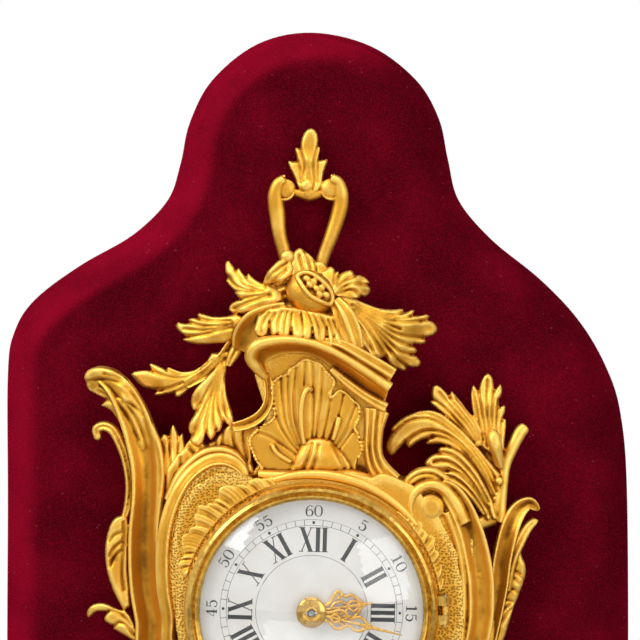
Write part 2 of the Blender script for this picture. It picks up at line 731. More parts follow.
# Bow for hanging, with its leaf finial
bowSize = {
    "left": [
        (-7.5, 131, 6, 2.6, 2.6), (-11, 148, 5, 3, 2.8), (-14.1, 160, 6, 3.1, 3), (-15.3, 170, 6, 3.7, 3.2),
        (-16, 177, 6.5, 3.5, 3.2), (-14.8, 182, 7, 3, 3), (-12.1, 184.4, 7, 2.4, 2.8)],
    "right": [
        (1, 132, 6, 2.6, 2.6), (4.6, 148.5, 5, 2.8, 2.8), (8, 158, 6, 3.1, 3), (10.8, 166, 6, 3.4, 3.2),
        (12.6, 173, 6.3, 3.5, 3.2), (12.8, 178.5, 6.8, 3.3, 3.2), (11.6, 183, 7, 2.6, 3),
        (8.6, 184.8, 7, 2.4, 2.8)],
    "volutes": [(-11.7, 180.1, 1), (8.3, 180.3, -1)],
    "voluteRadius": 4.7, "voluteDepth": 6.6, "voluteFlat": 0.55,
    "curl": {
        "outer": 1.22, "inner": 0.9, "start": 90, "turn": 250, "depth": 6.4, "width": 0.9, "thick": 1.7,
        "steps": 22},
    "bridge": [
        (-12, 179.6, 6, 1.8, 2), (-6, 178.4, 6, 1.8, 2), (-1, 177.6, 6, 2.6, 2.6), (4, 178.4, 6, 1.8, 2),
        (8.5, 179.6, 6, 1.8, 2)],
    "palmette": {
        "edge": [
            (311, 128.3), (315, 130), (317.5, 134), (318.3, 140), (317.8, 147), (319.8, 147), (320, 151),
            (318.8, 156), (318.6, 160.2), (323, 160), (327, 158.9), (327.7, 161.2), (326, 166.5), (324, 172),
            (323, 178), (322, 185), (319, 191), (313.5, 195), (308, 195.5), (302, 192.5), (298, 187),
            (295.5, 180), (293, 174.5), (290, 168.5), (288, 163), (288.6, 160.8), (292.5, 161.4),
            (297.2, 161.2), (296.3, 156), (295, 150), (295.8, 147.5), (300.3, 148.8), (300.8, 143),
            (302, 137.5), (304.3, 132.8), (307.3, 129.4)],
        "grooves": [
            [(300.3, 148.8), (303, 158), (304, 168), (302.5, 180), (303, 190)],
            [(297.2, 161.2), (300, 170), (300.5, 182)],
            [(317.8, 148), (315, 158), (313.5, 168), (315, 180), (313, 190)],
            [(318.6, 160.2), (318, 170), (318, 182)]],
        "depths": [
            (311, 130, 6), (309, 160, 7.6), (308, 188, 7.6), (289, 162, 5), (327, 160, 5), (296, 149, 5.6),
            (320, 149, 5.6)]},
    "collar": [(307, 186, 7.2, 3.2), (308, 193, 7, 2.6)],
    "collarFlat": 0.8,
    "forms": {"palmette": (1.5, 4, 0.9, 1.5, 2.4)}}


def bowParts(size):
    parts = [sweep(size[key]) for key in ("left", "right", "bridge")]
    r, curl = size["voluteRadius"], size["curl"]
    for x, z, way in size["volutes"]:
        parts.append(sweep(spiral((x, z), r, way, curl)))
        parts.append(ball((x, z, size["voluteDepth"]), r, size["voluteFlat"], segments=28))
    return parts + plates(size) + [bead(place, size["collarFlat"]) for place in size["collar"]]


castPiece("bow", bowParts(bowSize), ["hanging_bow"], voxel=0.32)

# Crest of leaves behind the fruit
crestSize = {
    "core": [
        (-25, 119, 11, 5, 6), (-14, 124, 13, 8, 8), (0, 126, 13, 9, 8), (14, 122, 13, 8, 8),
        (24, 117, 12, 5, 6)],
    "leaves": [
        {"edge": [
             (228.5, 260.5), (231, 263), (233.5, 266.5), (235.7, 270.5), (238.8, 267.8), (241, 271),
             (243.5, 274.5), (246.3, 277.3), (248.2, 273), (251.5, 276.5), (255.5, 280), (260, 282.5),
             (266, 284), (274, 285), (282, 290), (285, 300), (277, 306), (264, 310), (252, 313.5),
             (243, 313.5), (236, 313), (231.7, 312.8), (229, 310), (229.2, 306.7), (231.7, 303.3), (236, 301),
             (241, 299.3), (238.3, 297.2), (235, 293.7), (235, 291), (229.5, 285.5), (226, 281),
             (227.8, 277.2), (225.5, 272), (225, 266), (226, 262)],
         "grooves": [
             [(235.7, 270.5), (240, 278), (248, 286), (264, 291)], [(246.3, 277.3), (252, 283), (266, 289)],
             [(227.8, 277.2), (233, 284), (240, 288), (256, 291)], [(235, 291), (245, 291.5), (264, 292)],
             [(241, 299.3), (250, 297), (268, 294)], [(234, 308.5), (245, 303.5), (256, 299.5), (270, 295)]],
         "depths": [
             (228, 263, 11), (226, 280, 12), (239, 269, 14), (248, 275, 16), (246, 290, 19), (266, 292, 21),
             (230, 308, 14), (246, 310, 18), (276, 300, 23)]},
        {"edge": [
             (175.5, 325.5), (178, 322), (181.5, 323), (185.5, 323.6), (190.5, 322.6), (188, 319), (193, 318),
             (199, 318.6), (197.3, 314.6), (199.5, 313), (205, 314.5), (212, 316.5), (220, 317), (228, 316),
             (236, 314), (246, 318), (244, 328), (236, 338), (224, 343), (214, 343.5), (206, 344.2),
             (198, 344.2), (190, 343), (184.5, 340.8), (182.4, 339.4), (187.5, 337), (184, 335), (180, 332),
             (177, 328.8)],
         "grooves": [
             [(190.5, 322.6), (201, 325.5), (213, 326), (232, 324)], [(199, 318.6), (211, 321), (230, 321)],
             [(187.5, 337), (200, 335), (214, 331.5), (232, 327)],
             [(184, 329), (198, 330), (214, 329), (230, 325)]],
         "depths": [
             (176, 325, 8), (198, 314, 12), (184, 340, 9.5), (200, 328, 13), (220, 328, 16), (240, 325, 18)]},
        {"edge": [
             (289, 262), (293, 254.5), (296, 250), (299, 248), (302, 248.5), (304.8, 251.3), (306.5, 252),
             (309.5, 254.5), (312.3, 257.3), (314.8, 261), (319, 261), (324, 262), (327.5, 267), (331, 276),
             (324, 288), (300, 286), (290, 276)],
         "grooves": [
             [(304.8, 251.3), (308, 258), (311, 268), (312, 278)], [(314.8, 261), (316.5, 268), (316, 278)],
             [(299, 256), (302, 266), (304, 277)]],
         "depths": [(300, 249, 12), (311, 258, 13), (324, 264, 13), (308, 276, 17)]},
        {"edge": [
             (320, 272), (327, 268), (331, 266.5), (334, 268.5), (335.7, 272), (338.6, 271.6), (338.3, 276),
             (341.5, 273), (346, 271), (351, 270.2), (353, 272), (355, 275.3), (359.5, 275), (364.5, 277),
             (368, 280), (369.5, 283), (367, 284.8), (370, 288), (370.5, 291.5), (368.5, 295), (365, 297),
             (361, 296.5), (357, 299.5), (350, 302), (342, 301), (333, 297), (326, 286)],
         "grooves": [
             [(335.7, 272), (334.5, 279), (333, 288)], [(338.3, 276), (337.5, 282), (335, 290)],
             [(355, 275.3), (349, 278.5), (342, 282), (335, 290)],
             [(367, 284.8), (358, 283.5), (348, 285), (337, 291)],
             [(361, 296), (355, 291), (348, 290), (338, 293)]],
         "depths": [
             (331, 268, 14), (346, 272, 15), (364, 279, 13), (369, 292, 12), (352, 285, 18), (356, 298, 18),
             (335, 290, 22)]},
        {"edge": [
             (338, 297), (347, 297), (357, 300), (368, 304.5), (376, 307.5), (384, 309), (392, 309.5),
             (400, 308.8), (403.8, 309.5), (402.5, 312.6), (407, 312), (411, 310), (414.4, 310.2),
             (413.5, 313.5), (410.5, 316.3), (420, 315.8), (427, 314.3), (429.8, 316.3), (427.5, 319.3),
             (421, 320.9), (430, 320.6), (434.5, 323.3), (437.3, 327.5), (436.8, 331.5), (433.5, 334.8),
             (428, 336.7), (423, 337.5), (425.7, 340), (425.3, 342.8), (421, 344.5), (415, 343.8),
             (410, 345.3), (415.5, 347.6), (417.3, 350.5), (416, 353), (411.5, 354.3), (416.5, 356.3),
             (420.3, 360.5), (421, 364), (418, 366.7), (412, 367.2), (406, 366), (406.2, 369.3), (403.7, 371),
             (399, 369.2), (394, 367.5), (389, 362.5), (385.5, 356), (380, 358.5), (372, 357.5), (364, 351),
             (352, 345), (344, 330), (336, 312)],
         "grooves": [
             [(402.5, 312.6), (395, 315), (385, 314), (372, 309.5), (358, 304)],
             [(410.5, 316.3), (400, 318.5), (388, 317), (375, 313.5), (360, 306)],
             [(421, 320.9), (408, 321.5), (395, 320.5), (380, 317.5), (366, 311.5), (352, 305)],
             [(400, 329), (390, 325), (380, 320.5), (368, 315), (356, 308.5)],
             [(423, 337.5), (413, 337), (402, 335), (392, 331), (382, 325), (370, 317.5), (356, 309.5)],
             [(410, 345.3), (403, 342.5), (395, 339), (386, 333), (376, 325), (364, 316), (354, 309.5)],
             [(411.5, 354.3), (402, 352), (394, 347), (387, 340), (378, 331), (368, 320.5), (356, 311)],
             [(406, 366), (398, 359.5), (391, 351.5), (385, 343.5), (377, 333.5), (367, 322), (354, 311)],
             [(385.5, 356), (382, 349.5), (377, 341.5), (370, 331), (362, 320.5), (351, 311)],
             [(376, 357), (372, 349), (367, 339), (360, 327), (349, 313)],
             [(366, 352), (360, 343), (352, 333), (343, 318)]],
         "depths": [
             (345, 305, 25), (380, 325, 22), (400, 320, 18), (437, 329, 8), (425, 341, 10), (421, 363, 10),
             (404, 370, 12), (402, 310, 15), (372, 355, 24), (358, 345, 27), (390, 350, 17)]}],
    "calyx": {
        "edge": [
            (284, 258), (278, 260.5), (272, 266.5), (268, 271), (265, 277), (263.2, 283), (266, 285),
            (270.5, 283.5), (277, 282), (282, 284), (287, 279), (292, 275), (294, 268), (291, 261)],
        "grooves": [[(264, 283), (271, 275), (278, 269), (287, 263)], [(272, 281), (279, 276), (286, 269)]],
        "depths": [(264, 283, 22), (272, 270, 25), (288, 264, 24), (284, 278, 27)]},
    "knot": (287.5, 257, 23, 3.2),
    "stem": [
        (287, 312, 27, 4.5, 4), (270, 317, 25.5, 5.6, 4.6), (254, 325, 22.5, 6, 4.8),
        (245, 338, 19, 5.6, 4.4), (241, 351, 16, 3.8, 3.2)],
    "fold": [
        (334, 300, 26, 2.6, 2.6), (344, 316, 29, 4.6, 3), (351, 336, 30, 5, 3), (356, 350, 29, 3.6, 2.6)],
    "frill": {
        "edge": [
            (258, 316), (268, 309), (282, 306), (300, 308), (318, 312), (335, 316), (345, 326), (352, 340),
            (353.5, 352), (349, 356), (343, 355), (338, 350.5), (336, 345), (334.3, 336), (333.6, 345),
            (331, 349), (328.6, 346), (328.2, 338), (327, 328), (325.3, 340), (322, 344), (317, 342),
            (314, 338), (312.6, 327), (311.2, 338), (308, 340.5), (304.2, 339.5), (303, 337.5), (301, 339),
            (296, 339.5), (292.3, 336), (291, 326), (289.4, 336), (284, 337.5), (279, 335.8), (277.6, 333.5),
            (275.8, 335), (273, 335.8), (270.6, 334), (269.4, 322), (267.4, 334.5), (263, 337.5),
            (257, 336.5), (253.5, 331)],
        "grooves": [
            [(269.4, 322), (275, 314)], [(277.6, 333), (278, 322), (282, 312)], [(291, 324), (292, 313)],
            [(303, 337), (303, 326), (301, 313)], [(312.6, 324), (308, 313)], [(327, 328), (320, 316)],
            [(334.3, 336), (328, 320)], [(261, 333), (262, 324), (269, 313)],
            [(284, 335), (285, 323), (287, 312)], [(320, 341), (319, 328), (314, 315)],
            [(345, 352), (341, 336), (333, 320)]],
        "depths": [
            (262, 314, 27), (300, 309, 29), (340, 320, 29), (258, 334, 29), (280, 336, 33), (305, 338, 34),
            (330, 346, 33), (350, 353, 30)]},
    "leafForm": (1.8, 5, 1.1, 1.8, 2.4),
    "forms": {"calyx": (2, 5, 1, 1.8, 2.6), "frill": (1.8, 3.6, 0.8, 1.4, 3.2)}}


def crestParts(size):
    parts = [sweep(size["core"]), band(size["stem"], hollowBand, across=20, count=60)]
    parts.append(band(size["fold"], fluted(2), across=18, count=40))
    parts += [plate(leaf, size["leafForm"]) for leaf in size["leaves"]]
    return parts + plates(size) + [bead(size["knot"], segments=20)]


castPiece("crest", crestParts(crestSize), ["crest_leaves"], voxel=0.4)

# Fruit split open over its seeds
fruitSize = {
    "centre": (-0.5, 133.9, 24), "radius": 9.6, "mouth": (2.9, 3.0, 8.6), "along": (0.76, -0.65, 0.0),
    "long": 7.8, "short": 4.3, "stretch": 1.17, "pit": 2.6, "lip": 1.05, "seed": 1.5,
    "seeds": [(-4.6, 0.3), (-2.4, -1.0), (-2.0, 1.3), (0.4, -0.2), (1.6, 1.6), (2.6, -1.3), (4.6, 0.5)],
    "pin": 2.5, "pinBack": 14, "pinAt": 130, "lipBeads": 44, "lipWave": 0.12, "seedSink": 1.7,
    "bud": [
        (268, 291, 17, 2.2, 2.4), (276, 291.5, 18.6, 4, 3.6), (284, 289, 20, 4.4, 3.8), (293, 286, 22, 3, 3)]}


def fruitParts(size):
    centre = np.array(size["centre"])
    r = size["radius"]
    m = np.array(size["mouth"]) / np.linalg.norm(size["mouth"])
    a = np.array(size["along"]) - m * np.dot(size["along"], m)
    a /= np.linalg.norm(a)
    b = np.cross(m, a)
    verts, faces = ball(size["centre"], r, segments=64)
    away = verts - centre
    inside = 1 - ((away @ a) / size["long"]) ** 2 - ((away @ b) / size["short"]) ** 2
    inside = np.clip(inside, 0, 1) * (away @ m > 0)
    parts = [(centre + away * (1 - size["pit"] / r * np.sqrt(inside))[:, None], faces)]
    for i in range(size["lipBeads"]):
        g = 2 * math.pi * i / size["lipBeads"]
        wave = 1 + size["lipWave"] * math.sin(3 * g)
        flat = a * math.cos(g) * size["long"] + b * math.sin(g) * size["short"] * wave
        p = centre + flat + m * math.sqrt(max(r * r - np.dot(flat, flat), 0))
        parts.append(ball(p, size["lip"], segments=10))
    for along, across in size["seeds"]:
        flat = a * along + b * across
        parts.append(ball(centre + flat + m * (r - size["seedSink"]), size["seed"], segments=12))
    parts = [(p + np.outer((p - centre) @ a, a) * (size["stretch"] - 1), f) for p, f in parts]
    parts.append(band(size["bud"], fluted(2), across=18, count=40))
    pin, back, front = size["pin"], size["pinBack"], size["centre"][2]
    profile = [(pinhole, back), (pin, back), (pin, front), (pinhole, front)]
    parts.append(lathe(profile, (size["centre"][0], size["pinAt"]), segments=20))
    return parts


castPiece("fruit", fruitParts(fruitSize), ["pomegranate"], voxel=0.34, material=fruitGilt)

# Arched hood over the panel: lip, cove and stepped mouldings
hoodSize = {
    "lip": [
        (267, 379, 26, 1.4, 2), (258, 369, 28.4, 2.4, 3.2), (251.5, 357, 30, 3, 4),
        (256, 346.5, 31.4, 3, 4.2), (270, 341.5, 32, 2.6, 4), (290, 340, 32.4, 2.2, 3.8),
        (311, 343, 32.4, 2, 3.6), (331, 350.5, 32.4, 2, 3.6), (350, 361, 32.2, 2.1, 3.6),
        (370, 374, 31.8, 2.3, 3.4), (390, 388, 31, 2.5, 3.2)],
    "upper": [
        (322, 341, 31, 1.6, 2.6), (342, 347, 31.6, 3, 3.2), (366, 361, 31.4, 3.8, 3.4),
        (392, 377, 30.6, 4, 3.2)],
    "lower": [
        (331, 369, 28, 1.3, 2), (346, 382, 28.2, 1.9, 2.4), (365, 396, 28, 2.2, 2.4),
        (386, 408, 27.4, 2.4, 2.4)],
    "innerEdge": [
        (270, 374, 25), (268, 362, 25.4), (283, 355, 25.6), (304, 354, 25.8), (322, 361, 26), (341, 377, 26),
        (361, 393, 26), (384, 407, 26)],
    "lipEdge": [
        (259, 369, 30), (258, 354, 31.4), (272, 345, 32.6), (304, 345, 33), (324, 352, 33), (346, 365, 33),
        (367, 380, 32.6), (388, 393, 32)],
    "back": 24, "steps": 90, "across": 16}


def hoodParts(size):
    a, b = (smoothRows(seenAll(size[key]), size["steps"]) for key in ("lipEdge", "innerEdge"))
    t = np.linspace(0, 1, size["across"])
    grid = a[:, None, :] * (1 - t[None, :, None]) + b[:, None, :] * t[None, :, None]
    fall = np.sin(t * math.pi / 2)
    grid[..., 2] = a[:, None, 2] + (b[:, None, 2] - a[:, None, 2]) * fall[None, :]
    return [
        band(size["lip"], plainRib, across=16, count=110),
        band(size["upper"], fluted(2), across=20, count=60),
        band(size["lower"], groovedRib, across=14, count=60), slab(grid, size["back"])]


castPiece("hood", hoodParts(hoodSize), ["crest_canopy"], voxel=0.4)

# Panel over the dial: a rocaille shell with a nibbled edge, folds at its foot and a fluted pilaster
panelSize = {
    "ribs": [
        [(312, 391, 27.6, 1.0, 1.5), (308, 388.5, 28.6, 1.3, 1.8), (303.5, 396, 29, 1.3, 1.9),
         (301, 412, 29, 1.3, 1.9), (301.5, 428, 29, 1.2, 1.8), (304, 444, 28.6, 1, 1.5)],
        [(339, 417, 27.4, 1.2, 1.6), (337, 427, 28, 1.2, 1.6), (333, 440, 28, 0.9, 1.3)],
        [(272, 444, 27, 1.0, 1.4), (277, 453, 27.8, 1.1, 1.6), (291, 462, 28, 0.9, 1.3)]],
    "folds": {
        "edge": [
            (288, 472), (295, 457), (302, 443), (310, 438.5), (320, 437.5), (331, 440), (338, 448),
            (345, 456), (351, 464), (352, 472), (335, 474), (310, 474)],
        "grooves": [
            [(312, 444), (309, 455), (303, 470)], [(318, 446), (316, 457), (311, 472)],
            [(334, 445), (339, 455), (345, 468)]],
        "depths": [(302, 445, 26.6), (330, 444, 26.6), (318, 456, 28.4), (290, 470, 26), (350, 470, 26)]},
    "shell": {
        "edge": [
            (266, 474), (262, 468), (258, 463), (255, 457), (252, 450), (249.5, 443), (251, 437),
            (256, 431.5), (262, 426), (270, 422), (274.5, 417), (274, 408), (273, 398), (272, 388),
            (275, 381), (281, 376), (288, 374), (290, 369), (296, 366), (301, 361.5), (306, 359.5),
            (312, 361), (318, 363), (323, 367), (328, 373), (333, 378), (334.7, 383), (332, 389), (330, 394),
            (331, 398), (335, 395), (339, 391), (344, 392), (349, 396), (353, 401), (358, 404), (359.7, 410),
            (359, 418), (356, 424), (354.5, 429), (358, 434), (361, 443), (362, 450), (359, 457), (357, 465),
            (356, 476), (310, 478), (268, 478)],
        "grooves": [
            [(281, 376), (282, 400), (286, 424), (297, 446)],
            [(296, 366), (294, 395), (296, 422), (304, 448)], [(312, 361), (313, 390), (312, 445)],
            [(323, 367), (321, 395), (317, 425), (315, 447)], [(331, 398), (327, 420), (321, 446)],
            [(344, 392), (340, 411), (334, 429), (326, 448)],
            [(356, 405), (350, 421), (342, 438), (331, 453)], [(354.5, 429), (346, 440), (335, 455)],
            [(274, 408), (280, 426), (290, 441), (301, 454)],
            [(256, 432), (270, 437), (285, 447), (299, 457)],
            [(288, 374), (288, 398), (291, 424), (300, 447)], [(305, 362), (304, 385)]],
        "depths": [
            (306, 362, 25.6), (300, 420, 25), (330, 410, 25.2), (350, 440, 25), (265, 450, 24.6),
            (310, 465, 26.4), (282, 390, 25)]},
    "pilaster": [
        (375, 408, 25.6, 5, 2.6), (373, 428, 25.8, 4, 2.8), (372.5, 450, 25.8, 4, 2.8),
        (378, 468, 25.8, 4.8, 2.8), (392, 483, 25.8, 5, 2.8)],
    "pilasterEdge": [
        (386, 412, 25, 1.4, 2.6), (380, 432, 25, 1.4, 2.8), (380, 455, 25, 1.4, 2.8),
        (388, 474, 25, 1.6, 2.8), (402, 484, 25, 1.8, 2.8)],
    "leftEdge": [
        (267, 377, 24.6, 1.8, 2.2), (269, 392, 25, 2, 2.4), (267, 406, 25.2, 2.2, 2.4),
        (259, 417, 25.4, 2.4, 2.4), (246, 424, 25, 2.4, 2.4), (233, 427, 24, 2, 2.2)],
    "foot": [
        (258, 474, 27, 2, 2.6), (275, 475, 28, 2.2, 3), (301, 475.5, 28.6, 2.2, 3),
        (330, 475.5, 28.6, 2.2, 3), (355, 475, 28, 2.2, 3), (378, 484, 27, 2, 2.6)],
    "forms": {"shell": (1.3, 2.4, 0.7, 1.7, 3.0), "folds": (3, 10, 1.2, 2.4, 3)},
    "beads": 84, "bead": 0.72, "beadDepth": 26.2, "beadEdge": 44, "beadLeast": 0.8, "beadVary": 0.45,
    "beadBeat": 2.3}


def panelParts(size):
    parts = plates(size) + [
        band(size["pilaster"], fluted(3), across=24, count=70),
        band(size["pilasterEdge"], plainRib, across=10, count=60),
        band(size["leftEdge"], hollowBand, across=16, count=60),
        band(size["foot"], plainRib, across=12, count=50)]
    parts += [band(rows, plainRib, across=10, count=40) for rows in size["ribs"]]
    rim = [seen((x, y, size["beadDepth"])) for x, y in size["shell"]["edge"][:size["beadEdge"]]]
    for i, place in enumerate(smoothRows(rim, size["beads"])):
        grow = size["beadLeast"] + size["beadVary"] * abs(math.sin(size["beadBeat"] * i))
        parts.append(ball(place, size["bead"] * grow, segments=10))
    return parts


castPiece("panel", panelParts(panelSize), ["waist_cartouche"], voxel=0.36)

# Leafy branch on the left
branchSize = {
    "stem": [
        (241, 330, 14, 3.4, 3.2), (232, 346, 13, 3, 3), (219, 362, 12, 2.6, 2.8), (203, 375, 11, 2.6, 2.6),
        (186, 385, 10, 2, 2.2)],
    "second": [(243, 338, 14, 2.4, 2.8), (234, 354, 14, 2.6, 2.8), (228, 366, 14, 1.4, 1.6)],
    "leaves": [
        {"edge": [
             (131, 374.5), (133.5, 371.8), (140, 370.5), (147, 370.3), (152.7, 371.5), (150.5, 367.5),
             (149.3, 364.3), (151.5, 363.3), (156, 365), (161, 367.2), (167, 370.3), (167.5, 367),
             (171, 367.8), (176, 370.2), (182, 371.9), (189, 371.6), (195, 370), (201, 366.3), (206.5, 361.5),
             (212, 353), (222, 352), (222, 362), (214, 370), (206, 376), (199, 381), (192, 387), (186, 392),
             (181, 396.2), (177.5, 397.7), (175.3, 396.5), (174.3, 392.6), (170, 393.3), (163, 394.6),
             (156, 395.8), (154.2, 394.3), (156.5, 391.5), (162, 390.4), (155, 389.6), (148, 388.5),
             (142.5, 386.8), (138, 383), (134, 378.5)],
         "grooves": [
             [(152.7, 371.5), (165, 375.5), (180, 377.5), (195, 374.5), (210, 363)],
             [(167, 370.3), (180, 374.5), (195, 372.5), (208, 363)],
             [(162, 390.4), (175, 386), (188, 380), (200, 372), (212, 361)],
             [(174.3, 392.6), (184, 388), (194, 381), (204, 372), (214, 361)]],
         "depths": [
             (131, 374, 6.6), (150, 365, 8.6), (155, 394, 8), (177, 396, 9), (165, 380, 10.4),
             (195, 375, 11.4), (214, 360, 13)]},
        {"edge": [
             (221, 352), (230, 350), (229.5, 359), (226.5, 368), (225.3, 378), (225.8, 388), (227, 396),
             (229.5, 404), (232, 411), (233.7, 418), (233.3, 425), (231.5, 427.5), (228, 425), (223.5, 420.5),
             (222, 427), (220, 430.8), (217.5, 432), (216, 429.5), (215.5, 434), (213.5, 438), (211, 440),
             (208.3, 437.5), (206, 431.5), (204.5, 437), (203, 443), (199, 446.5), (193, 445), (190, 441),
             (191.3, 434), (189.5, 432.5), (188.3, 428), (189, 423.5), (191.5, 419), (194, 415), (196, 410),
             (193.3, 410), (191.5, 406.5), (190.8, 401), (192, 395), (196, 388.5), (201, 383), (207, 377),
             (213, 371), (218, 365)],
         "grooves": [
             [(196, 410), (201, 402), (208, 390), (215, 377), (222, 361)],
             [(191.3, 434), (197, 424), (204, 410), (211, 393), (218, 375), (223, 360)],
             [(206, 431.5), (206, 422), (209, 408), (214, 390), (219, 373), (224, 358)],
             [(216, 429.5), (213.5, 419), (214, 405), (217, 388), (221, 372), (225, 358)],
             [(223.5, 420.5), (218.5, 408), (218, 396), (220.5, 382), (224, 368)],
             [(231, 424), (226, 412), (223, 400), (223, 388), (225, 374)]],
         "depths": [
             (225, 355, 13), (192, 402, 14), (210, 390, 15.6), (190, 428, 17), (199, 444, 21.4),
             (211, 438, 23), (220, 430, 22), (232, 425, 20), (230, 405, 17)]}],
    "leafForm": (1.5, 5, 0.8, 1.7, 1.8)}


def branchParts(size):
    parts = [band(size["stem"], hollowBand), band(size["second"], groovedRib)]
    return parts + [plate(leaf, size["leafForm"]) for leaf in size["leaves"]]


castPiece("branch", branchParts(branchSize), ["left_branch"], voxel=0.4)

